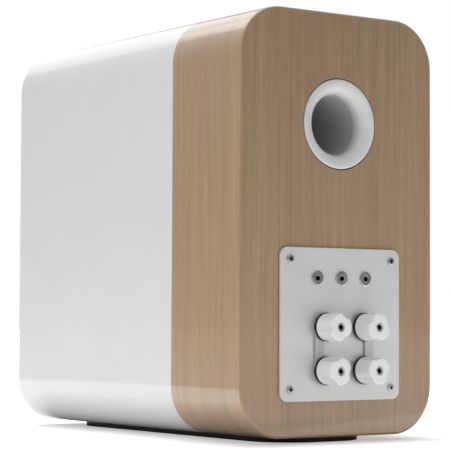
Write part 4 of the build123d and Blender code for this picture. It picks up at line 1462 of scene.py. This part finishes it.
@dataclass
class BindingPosts:
    """Studs, links, washers and the four fluted screw caps.

    Args:
        stud: outer radius of the studs' thread.
        ridge: half thickness of the thread's ridge.
        pitch: the thread's pitch.
        bore: radius and depth of the plug bore.
        cap: radius of the caps.
        rim: radius of their outer edge.
        flute: radius of the finger flutes.
        bite: how deep the flutes cut.
        flute_start: where the full flutes start above the cap's base.
        turns: which way each cap's flutes point, in degrees.
    """

    stud: float = 3 * MM
    ridge: float = 0.28 * MM
    pitch: float = 1 * MM
    bore: tuple[float, float] = (2.05 * MM, 16 * MM)
    cap: float = 11.25 * MM
    rim: float = 1.2 * MM
    flute: float = 12 * MM
    bite: float = 2 * MM
    flute_start: float = 7.5 * MM
    turns: dict[str, float] = field(
        default_factory=lambda: {"1": 120.0, "2": 160.0, "3": 70.0, "4": 80.0})

    def studs(self) -> None:
        """Build the four threaded studs."""
        low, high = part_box("post_studs")
        length = high.y - low.y
        bore, depth = self.bore
        core = self.stud - self.ridge
        small = 0.3 * MM
        profile = [(0.0, -length), (core, -length), (core, -small), (core - small, 0.0),
                   (bore + 0.2 * MM, 0.0), (bore, -0.2 * MM), (bore, -depth), (0.0, -depth)]
        rod = lathe("stud_core", profile, 0, 0, 64, closed=False)
        thread = run_tree("stud_thread", thread_tree(), {
            "Radius": core, "Pitch": self.pitch, "Length": length - 2 * small - self.pitch,
            "Ridge": self.ridge, "Finish": NICKEL.material()})
        thread.data.transform(Matrix.Rotation(math.pi / 2, 4, "X"))
        thread.data.transform(Matrix.Translation((0, -small - self.ridge, 0)))
        template = joined("stud_template", [rod, thread])
        # Painted shade: the stud's plug bore is darkened from its mouth inwards.
        paint_recess_shade(template, lambda co: -co.y / (0.5 * MM)
             if math.hypot(co.x, co.z) < bore * 1.02 else 0.0)
        (left, top), (right, bottom) = post_place("1"), post_place("4")
        centre = ((left + right) / 2, high.y, (top + bottom) / 2)
        place(repeated("studs", template, Layout.RECTANGLE, NICKEL, centre, left - right,
                       top - bottom), Body.CABINET.value, ["post_studs"], NICKEL)

    def reach(self, angle: float, height: float, number: str) -> float:
        """The cap's radius in one direction at one height above its base.

        Args:
            angle: the direction, in radians.
            height: height above the cap's base.
            number: which cap.

        Returns:
            The radius.
        """
        ball = min(0.0, height - self.flute_start)
        flute = math.sqrt(max(0.0, self.flute ** 2 - ball ** 2))
        centre = self.cap + self.flute - self.bite
        radius = self.cap
        for step in range(3):
            turn = angle - math.radians(self.turns[number] + 120 * step)
            across = centre * abs(math.sin(turn))
            if math.cos(turn) > 0 and across < flute:
                cut = centre * math.cos(turn) - math.sqrt(flute ** 2 - across ** 2)
                soft = 0.5 * MM
                share = min(1.0, max(0.0, 0.5 + 0.5 * (radius - cut) / soft))
                radius = radius + (cut - radius) * share - soft * share * (1 - share)
        return radius

    def cap_piece(self, number: str) -> bpy.types.Object:
        """Build one screw cap.

        Args:
            number: which cap.

        Returns:
            The cap.
        """
        low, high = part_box("post_" + number + "_cap")
        x, z = post_place(number)
        tall, small, levels_up = high.y - low.y, 0.25 * MM, 26
        levels = [(small, 0.0), (0.07 * MM, 0.07 * MM), (0.0, small)]
        levels += [(0.0, small + (tall - self.rim - small) * step / levels_up)
                   for step in range(1, levels_up + 1)]
        levels += [(self.rim * (1 - math.cos(t)), tall - self.rim * (1 - math.sin(t)))
                   for t in (math.pi / 2 * step / 7 for step in range(1, 8))]
        levels.append((self.rim + 0.3 * MM, tall))
        steps = 240
        mesh = bmesh.new()
        loops = []
        for inset, height in levels:
            points = []
            for step in range(steps):
                angle = 2 * math.pi * step / steps
                radius = self.reach(angle, height, number) - inset
                points.append(Vector((x + radius * math.cos(angle), low.y + height,
                                      z + radius * math.sin(angle))))
            loops.append(add_loop(mesh, points))
        recess, bore = self.stud + 0.7 * MM, self.stud + 0.05 * MM
        for radius, y in ((recess + 0.6 * MM, high.y), (recess + 0.3 * MM, high.y),
                          (recess + 0.09 * MM, high.y - 0.09 * MM), (recess, high.y - 0.3 * MM),
                          (recess, high.y - 3 * MM), (bore, high.y - 3 * MM), (bore, low.y)):
            loops.append(add_loop(mesh, circle_loop(radius, x, z, y, steps)))
        bridge(mesh, loops + loops[:1])
        return to_object("cap_" + number, mesh, 40.0)

    def washer(self, number: str) -> bpy.types.Object:
        """Build the washer behind one cap.

        Args:
            number: which washer.

        Returns:
            The washer.
        """
        low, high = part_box("post_" + number + "_washer")
        x, z = post_place(number)
        outer, inner, edge = (high.x - low.x) / 2, self.stud + 0.05 * MM, 0.4 * MM
        profile = [(inner, low.y), (outer - edge, low.y)]
        profile += arc_points((outer - edge, low.y + edge), (edge, edge), -75, 0, 4)
        profile += arc_points((outer - edge, high.y - edge), (edge, edge), 0, 90, 5)
        profile += [(inner, high.y)]
        return lathe("washer_" + number, profile, x, z, 96)

    def build(self) -> None:
        """Build and dress the posts."""
        self.studs()
        for side in ("left", "right"):
            node = "link_strap_" + side
            place(refined("link_" + side, node, 0.12 * MM), Body.CABINET.value, [node],
                  LINK_METAL)
        place(refined("insulators", "post_insulators", 0.1 * MM), Body.CABINET.value,
              ["post_insulators"], BLACK_PLASTIC)
        for number in "1234":
            place(self.washer(number), "post_" + number + "_slider",
                  ["post_" + number + "_washer"], BLACK_PLASTIC)
            place(self.cap_piece(number), "post_" + number + "_knob",
                  ["post_" + number + "_cap"], CAP_WHITE)
        dress(BLACK_PLASTIC, "post_inner_washers")
        dress(NICKEL, "post_nuts")


@dataclass
class Base:
    """The low base that the cabinet stands on.

    Args:
        edge: radius of the base's edges.
    """

    edge: float = 0.3 * MM

    def build(self) -> None:
        """Build and dress the base."""
        place(refined("foot_plate", "base_plate", self.edge), Body.CABINET.value,
              ["base_plate"], BLACK_STEEL)
        place(refined("foot_sole", "base_sole", 0.2 * MM), Body.CABINET.value,
              ["base_sole"], BLACK_RUBBER)
        dress(BLACK_RUBBER, "base_isolators")
        dress(SCREW_STEEL, "base_screws")


@dataclass
class Woofer:
    """The bass and midrange driver.

    Args:
        ring: inner and outer radius of the trim ring.
        surround: inner and outer radius of the half roll.
        surround_plane: depth of the surround's lands.
        cone_edge: depth of the cone's edge.
        neck: radius and depth of the cone's neck.
        screws: radius of the screw circle.
        spider: thickness of the spider's cloth.
        spider_flex: radii between which the spider flexes.
    """

    ring: tuple[float, float] = (67.2 * MM, 82 * MM)
    surround: tuple[float, float] = (50.5 * MM, 62.5 * MM)
    surround_plane: float = 5 * MM
    cone_edge: float = 5.8 * MM
    neck: tuple[float, float] = (15.6 * MM, 27 * MM)
    screws: float = 76.5 * MM
    spider: float = 0.7 * MM
    spider_flex: tuple[float, float] = (17 * MM, 40 * MM)
    z: float = field(init=False)
    front_y: float = field(init=False)

    def __post_init__(self) -> None:
        """Read the woofer's place from the CAD frame."""
        self.z = middle("woofer_trim_ring").z
        self.front_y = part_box("front_baffle")[0].y

    def trim(self) -> None:
        """Build the trim ring."""
        inner, outer = self.ring
        low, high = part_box("woofer_trim_ring")
        proud = high.y - low.y
        profile = [(inner, high.y), (outer, high.y), (outer, high.y - 0.8 * MM)]
        profile += arc_points((outer - 1.2 * MM, low.y + 1.2 * MM), (1.2 * MM, 1.2 * MM),
                              0, -90, 8)[1:]
        profile += arc_points((inner + 2.3 * MM, high.y), (2.3 * MM, proud), -90, -180, 12)[:-1]
        place(lathe("trim_ring", profile, 0, self.z, 192), Body.CABINET.value,
              ["woofer_trim_ring"], TRIM_METAL)

    def roll(self) -> None:
        """Build the half-roll surround."""
        place_y = self.front_y + self.surround_plane
        piece = half_roll("rubber_surround", self.surround, place_y, 0.8 * MM,
                          (3.6 * MM, 4.3 * MM), self.z)
        flex(piece, Body.WOOFER.value, BLACK_RUBBER, "woofer_surround", self.surround[0],
             self.surround[1], self.z)

    def cone(self) -> None:
        """Build the cone and its dust cap."""
        edge, (neck, deep) = self.surround[0], self.neck
        thick = 0.8 * MM
        front = curve_points((edge, self.front_y + self.cone_edge),
                             (neck, self.front_y + deep), -1.6 * MM, 24)
        back = [(r, y + thick) for r, y in reversed(front)]
        place(lathe("cone", front + back, 0, self.z, 160), Body.WOOFER.value,
              ["woofer_cone"], CONE_FIBRE)
        place(dome("dust_cap", "woofer_dust_cap", 0.6 * MM, self.z), Body.WOOFER.value,
              ["woofer_dust_cap"], CONE_FIBRE)

    def build(self) -> None:
        """Build and dress the driver."""
        self.trim()
        self.roll()
        self.cone()
        screw = socket_screw(2 * MM, 14 * MM, 3.5 * MM, 2 * MM, 3 * MM, -1)
        place(repeated("woofer_bolts", screw, Layout.RING, SCREW_STEEL,
                       (0, self.front_y + 2.2 * MM, self.z), self.screws, count=6,
                       first_turn=math.radians(-30), most_turn=1.0),
              Body.CABINET.value, ["woofer_screws"], SCREW_STEEL)
        low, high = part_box("woofer_spider")
        wave = spider_wave(low.y, high.y - self.spider)
        profile = wave + [(r, y + self.spider) for r, y in reversed(wave)]
        flex(lathe("spider", profile, 0, self.z, 128), Body.WOOFER.value, SPIDER_CLOTH,
             "woofer_spider", *self.spider_flex, self.z)
        dress(BLACK_STEEL, "woofer_basket")
        dress(BLACK_FOAM, "woofer_gasket")
        dress(COPPER, "woofer_voice_coil")
        dress(MOTOR_STEEL, "woofer_top_plate", "woofer_yoke")
        dress(FERRITE, "woofer_magnet")


@dataclass
class Tweeter:
    """The treble driver in its shallow metal waveguide.

    Args:
        throat: radius at the dome.
        mouth: radius where the waveguide meets the flat plate.
        screws: radius of the screw circle.
        surround: inner and outer radius of the dome's surround.
        plane: depth of the dome's edge.
    """

    throat: float = 17 * MM
    mouth: float = 33 * MM
    screws: float = 45 * MM
    surround: tuple[float, float] = (14.3 * MM, 18.2 * MM)
    plane: float = 7 * MM
    low: Vector = field(init=False)
    high: Vector = field(init=False)
    z: float = field(init=False)

    def __post_init__(self) -> None:
        """Read the tweeter's place from the CAD frame."""
        self.low, self.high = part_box("tweeter_faceplate")
        self.z = middle("tweeter_faceplate").z

    def faceplate(self) -> None:
        """Build the plate with its waveguide and screw holes."""
        face, back = self.low.y, self.high.y
        thick, outer = back - face, (self.high.x - self.low.x) / 2
        flare = ((self.mouth - self.throat) ** 2 + thick ** 2) / (2 * thick)
        edge, steps = 0.6 * MM, 16
        mesh = bmesh.new()
        guide = [(self.mouth + edge, face)]
        for step in range(steps + 1):
            radius = self.mouth - (self.mouth - self.throat) * step / steps
            guide.append((radius, face + flare - math.sqrt(
                flare ** 2 - (self.mouth - radius) ** 2)))
        side = [(outer, back), (outer, face + edge)]
        side += arc_points((outer - edge, face + edge), (edge, edge), 0, -90, 5)[1:]
        side.append((outer - 1.0 * MM, face))
        inner = [add_loop(mesh, circle_loop(r, 0, self.z, y, 160)) for r, y in guide]
        rims = [add_loop(mesh, circle_loop(r, 0, self.z, y, 160)) for r, y in side]
        bridge(mesh, inner)
        bridge(mesh, rims)
        fronts, backs = [rims[-1], inner[0]], [rims[0], inner[-1]]
        for step in range(4):
            turn = math.radians(45 + 90 * step)
            x, z = self.screws * math.cos(turn), self.z + self.screws * math.sin(turn)
            hole = [add_loop(mesh, circle_loop(r, x, z, y, 40)) for r, y in (
                (3.8 * MM, face), (3.8 * MM, face + 2.2 * MM), (2.2 * MM, face + 2.2 * MM),
                (2.2 * MM, back))]
            bridge(mesh, hole)
            fronts.append(hole[0])
            backs.append(hole[-1])
        fill(mesh, fronts)
        fill(mesh, backs)
        place(to_object("tweeter_plate", mesh), Body.CABINET.value, ["tweeter_faceplate"],
              TWEETER_METAL)

    def build(self) -> None:
        """Build and dress the driver."""
        self.faceplate()
        place(dome("dome", "tweeter_dome", 0.4 * MM, self.z), Body.TWEETER.value,
              ["tweeter_dome"], SILK)
        roll = half_roll("silk_surround", self.surround, self.low.y + self.plane, 0.4 * MM,
                         (0.2 * MM, 5 * MM), self.z)
        flex(roll, Body.TWEETER.value, SILK, "tweeter_surround", self.surround[0],
             self.surround[1], self.z)
        screw = socket_screw(2 * MM, 14 * MM, 3.5 * MM, 2 * MM, 3 * MM, -1)
        place(repeated("tweeter_bolts", screw, Layout.RING, SCREW_STEEL,
                       (0, self.low.y + 2.2 * MM, self.z), self.screws, count=4,
                       first_turn=math.radians(45), most_turn=1.0),
              Body.CABINET.value, ["tweeter_screws"], SCREW_STEEL)
        dress(COPPER, "tweeter_voice_coil")
        dress(MOTOR_STEEL, "tweeter_top_plate", "tweeter_yoke")
        dress(FERRITE, "tweeter_magnet")
        dress(BLACK_PLASTIC, "tweeter_rear_chamber")


class Crossover:
    """The crossover's board and parts, and the internal leads."""

    def build(self) -> None:
        """Dress the crossover."""
        dress(BOARD, "crossover_board")
        dress(COPPER, "crossover_inductors")
        dress(CAPACITOR, "crossover_capacitors")
        dress(CERAMIC, "crossover_resistors")
        dress(SHEATH, "woofer_cable", "tweeter_cable")


# ------------------------------------------------------------ shapes they share


def middle(node: str) -> Vector:
    """The middle of a CAD node's box."""
    low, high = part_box(node)
    return (low + high) / 2


def post_place(number: str) -> tuple[float, float]:
    """Where a binding post's axis stands, in X and Z."""
    centre = middle("post_" + number + "_washer")
    return centre.x, centre.z


def half_roll(name: str, radii: tuple[float, float], y: float, thick: float,
              lands: tuple[float, float], z: float) -> bpy.types.Object:
    """Build a thin half roll that bulges towards the front, with a flat land on each side.

    Args:
        name: the piece's name.
        radii: its inner and outer radius.
        y: place of the lands' front face.
        thick: its thickness.
        lands: width of the inner and the outer land.
        z: height of its axis.

    Returns:
        The roll.
    """
    inner, outer = radii
    middle_r, bulge = (inner + outer) / 2, (outer - inner) / 2
    profile = [(inner - lands[0], y + thick), (inner - lands[0], y)]
    profile += arc_points((middle_r, y), (bulge, bulge), 180, 360, 20)
    profile += [(outer + lands[1], y), (outer + lands[1], y + thick), (outer - thick, y + thick)]
    profile += arc_points((middle_r, y), (bulge - thick, bulge - thick), 360, 180, 20)
    profile.append((inner + thick, y + thick))
    return lathe(name, profile, 0, z, 160, sharp=50.0)


def curve_points(first: tuple[float, float], last: tuple[float, float], sag: float,
                 steps: int) -> list[tuple[float, float]]:
    """Points along a shallow curve between two places.

    Args:
        first: where it starts.
        last: where it ends.
        sag: how far its middle is off the straight line.
        steps: how many steps it takes.

    Returns:
        The points.
    """
    (r0, y0), (r1, y1) = first, last
    length = math.hypot(r1 - r0, y1 - y0)
    across = ((y1 - y0) / length, -(r1 - r0) / length)
    points = []
    for step in range(steps + 1):
        share = step / steps
        push = 4 * sag * share * (1 - share)
        points.append((r0 + (r1 - r0) * share + across[0] * push,
                       y0 + (y1 - y0) * share + across[1] * push))
    return points


def dome(name: str, node: str, thick: float, z: float) -> bpy.types.Object:
    """Build a thin dome that bulges towards the front, sized from its CAD node.

    Args:
        name: the piece's name.
        node: the CAD node.
        thick: its thickness.
        z: height of its axis.

    Returns:
        The dome.
    """
    low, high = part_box(node)
    radius, tall = (high.x - low.x) / 2, high.y - low.y
    sphere = (radius ** 2 + tall ** 2) / (2 * tall)
    outside, inside = [], []
    for step in range(21):
        r = radius * step / 20
        outside.append((r, low.y + sphere - math.sqrt(sphere ** 2 - r ** 2)))
    edge = radius - thick * sphere / (sphere - tall)
    for step in range(21):
        r = edge * (1 - step / 20)
        inside.append((r, low.y + thick + sphere - math.sqrt(sphere ** 2 - r ** 2)))
    return lathe(name, outside + inside, 0, z, 96, closed=False)


def spider_wave(low: float, high: float) -> list[tuple[float, float]]:
    """The wave of the woofer's spider as radius and Y.

    Args:
        low: its lowest Y.
        high: its highest Y.

    Returns:
        The points from the coil outwards.
    """
    middle_y, swing = (low + high) / 2, (high - low) / 2
    coil, start, span, rim = 15.7 * MM, 20 * MM, 15 * MM, (37 * MM, 43.5 * MM)
    waves, steps = 1.5, 60
    points = [(coil, middle_y), (start, middle_y)]
    for step in range(1, steps + 1):
        turn = 2 * math.pi * waves * step / steps
        points.append((start + span * step / steps, middle_y - swing * math.sin(turn)))
    return points + [(radius, middle_y + swing * 0.35) for radius in rim]


# ----------------------------------------------------------------- the studio


@dataclass
class Studio:
    """A white sweep with soft light, seen by a long lens from low behind the speaker.

    Args:
        eye: place of the camera.
        yaw: turn of the camera from the back's normal, in degrees.
        pitch: how far it looks up, in degrees.
        roll: how far it leans, in degrees.
        lens: focal length, in millimetres.
        rise: vertical shift of the picture.
        floor_glow: light that the floor shows the camera, so that it meets the white room.
        bounce: light that the floor round the object adds.
        mirror: how bright that floor is in the object's gloss.
        mirror_end: how far from the object that goes on.
        mirror_line: slant and place of the line behind the object where it ends.
        footprint: half width and depth of the floor under the object, which adds none.
        dim_side: where the room is darker.
        dim: how much light is left there.
        dim_mirror: the same for what gloss surfaces show.
    """

    eye: tuple[float, float, float] = (0.9599, 1.3621, 0.1007)
    yaw: float = 35.28
    pitch: float = 2.76
    roll: float = 0.26
    lens: float = 148.35
    rise: float = 0.0113
    floor_glow: float = 0.45
    bounce: float = 0.62
    mirror: float = 1.25
    mirror_end: float = 0.6
    mirror_line: tuple[float, float] = (0.536, 0.275)
    footprint: tuple[float, float] = (0.1, 0.18)
    dim_side: tuple[float, float, float] = (-0.3, 0.94, 0.15)
    dim: float = 0.0
    dim_mirror: float = 0.35

    def camera(self) -> None:
        """Place the camera and make it the scene's."""
        data = bpy.data.cameras.new("view_camera")
        data.lens, data.sensor_width, data.shift_y = self.lens, 36.0, self.rise
        data.clip_start, data.clip_end = 0.05, 50.0
        camera = bpy.data.objects.new("view_camera", data)
        bpy.context.scene.collection.objects.link(camera)
        yaw, pitch, roll = (math.radians(a) for a in (self.yaw, self.pitch, self.roll))
        ahead = Vector((-math.sin(yaw) * math.cos(pitch), -math.cos(yaw) * math.cos(pitch),
                        math.sin(pitch)))
        right = Vector((-math.cos(yaw), math.sin(yaw), 0))
        up = right.cross(ahead)
        right, up = (right * math.cos(roll) + up * math.sin(roll),
                     up * math.cos(roll) - right * math.sin(roll))
        turn = Matrix((right, up, -ahead)).transposed()
        camera.matrix_world = Matrix.Translation(self.eye) @ turn.to_4x4()
        bpy.context.scene.camera = camera

    def world(self) -> None:
        """A white room: brighter overhead, greyer at the horizon."""
        world = bpy.data.worlds.new("white_room")
        bpy.context.scene.world = world
        world.use_nodes = True
        graph = Graph(world.node_tree)
        ray = graph.add("ShaderNodeTexCoord").outputs["Generated"]
        height = graph.add("ShaderNodeSeparateXYZ", Vector=ray).outputs["Z"]
        room = graph.mix(graph.ramp(height, 0.05, 0.95), (0.27, 0.27, 0.275, 1.0),
                         (1.25, 1.25, 1.25, 1.0))
        behind = graph.add("ShaderNodeVectorMath", operation="DOT_PRODUCT")
        graph.feed(ray, behind.inputs[0])
        graph.feed(self.dim_side, behind.inputs[1])
        dim = graph.ramp(behind.outputs["Value"], 0.05, 0.9, 1.0, self.dim)
        path = graph.add("ShaderNodeLightPath").outputs
        dim = graph.math("MAXIMUM", dim,
                         graph.math("MULTIPLY", path["Is Glossy Ray"], self.dim_mirror))
        grey = graph.add("ShaderNodeCombineColor", Red=dim, Green=dim, Blue=dim)
        room = graph.mix(1.0, room, grey.outputs[0], "MULTIPLY")
        colour = graph.mix(path["Is Camera Ray"], room, (1.0, 1.0, 1.0, 1.0))
        light = graph.add("ShaderNodeBackground")
        graph.feed(colour, light.inputs["Color"])
        out = graph.add("ShaderNodeOutputWorld")
        graph.feed(light.outputs[0], out.inputs["Surface"])

    def lamp(self, name: str, eye: Sequence[float], aim: Sequence[float], size: float,
             power: float, mirrored: bool = True) -> None:
        """Hang a soft square light.

        Args:
            name: its name.
            eye: its place.
            aim: what it points at.
            size: its side.
            power: its power in watts.
            mirrored: whether gloss surfaces show it.
        """
        data = bpy.data.lights.new(name, "AREA")
        data.size, data.energy = size, power
        light = bpy.data.objects.new(name, data)
        light.location = eye
        away = Vector(eye) - Vector(aim)
        light.rotation_mode = "QUATERNION"
        light.rotation_quaternion = away.to_track_quat("Z", "Y")
        light.visible_camera, light.visible_glossy = False, mirrored
        bpy.context.scene.collection.objects.link(light)

    def floor(self) -> None:
        """Lay the pale floor."""
        mesh = bmesh.new()
        half = 12.0
        mesh.faces.new(add_loop(mesh, [Vector((-half, -half, 0)), Vector((half, -half, 0)),
                                       Vector((half, half, 0)), Vector((-half, half, 0))]))
        piece = to_object("studio_floor", mesh)
        material = bpy.data.materials.new("studio_floor")
        material.use_nodes = True
        graph = Graph(material.node_tree)
        shader = graph.add("ShaderNodeBsdfPrincipled", Roughness=0.9, Specular_IOR_Level=0.0)
        shader.inputs["Base Color"].default_value = (0.68, 0.68, 0.68, 1.0)
        shader.inputs["Emission Color"].default_value = (1.0, 1.0, 1.0, 1.0)
        path = graph.add("ShaderNodeLightPath").outputs
        parts = graph.add("ShaderNodeSeparateXYZ",
                          Vector=graph.add("ShaderNodeTexCoord").outputs["Object"])
        sides = [graph.math("SUBTRACT", graph.math("ABSOLUTE", parts.outputs[axis]), half)
                 for axis, half in zip("XY", self.footprint)]
        away = graph.math("MAXIMUM", *sides)
        seen = graph.math("MULTIPLY", path["Is Camera Ray"],
                          graph.ramp(away, 0.1, 0.7, self.floor_glow, 1.2))
        mirrored = graph.math("MULTIPLY", path["Is Glossy Ray"],
                              graph.ramp(away, self.mirror_end - 0.05, self.mirror_end,
                                         self.mirror, 0.0))
        slant, edge = self.mirror_line
        line = graph.math("ADD", parts.outputs["Y"],
                          graph.math("MULTIPLY", parts.outputs["X"], slant))
        mirrored = graph.math("MULTIPLY", mirrored, graph.ramp(line, edge, edge + 0.04, 1.0, 0.0))
        light = graph.math("SUBTRACT", graph.ramp(away, 0.12, 0.7, self.bounce, 0.0),
                           path["Is Glossy Ray"])
        light = graph.math("ADD", graph.math("MAXIMUM", light, 0.0), mirrored)
        light = graph.math("MULTIPLY", light, graph.ramp(away, 0.0, 0.05))
        graph.feed(graph.math("ADD", seen, light), shader.inputs["Emission Strength"])
        out = graph.add("ShaderNodeOutputMaterial")
        graph.feed(shader.outputs[0], out.inputs["Surface"])
        piece.data.materials.append(material)

    def build(self) -> None:
        """Set up the studio."""
        self.camera()
        self.world()
        self.floor()
        self.lamp("overhead", (0.3, -0.4, 1.7), (0, 0, 0.1), 1.8, 6.5)
        self.lamp("front_window", (-0.3, -2.6, 1.7), (0, 0, 0.3), 2.0, 10.0)
        self.lamp("low_fill", (-0.2, 0.65, 0.05), (0, 0.17, 0.05), 0.4, 0.79, False)
        self.lamp("side_fill", (0.9, 0.3, 0.25), (0.1, 0.17, 0.15), 0.5, 0.5, False)
        bpy.context.scene.view_settings.view_transform = "Standard"


def main() -> None:
    """Build the loudspeaker and its studio, in order."""
    logging.basicConfig(level=logging.INFO, format="%(message)s")
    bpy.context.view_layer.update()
    for part in (Cabinet(), ReflexPort(), TerminalPlate(), BindingPosts(), Base(), Woofer(),
                 Tweeter(), Crossover(), Studio()):
        part.build()
        LOG.info("built %s", type(part).__name__)


if __name__ == "__main__":
    main()
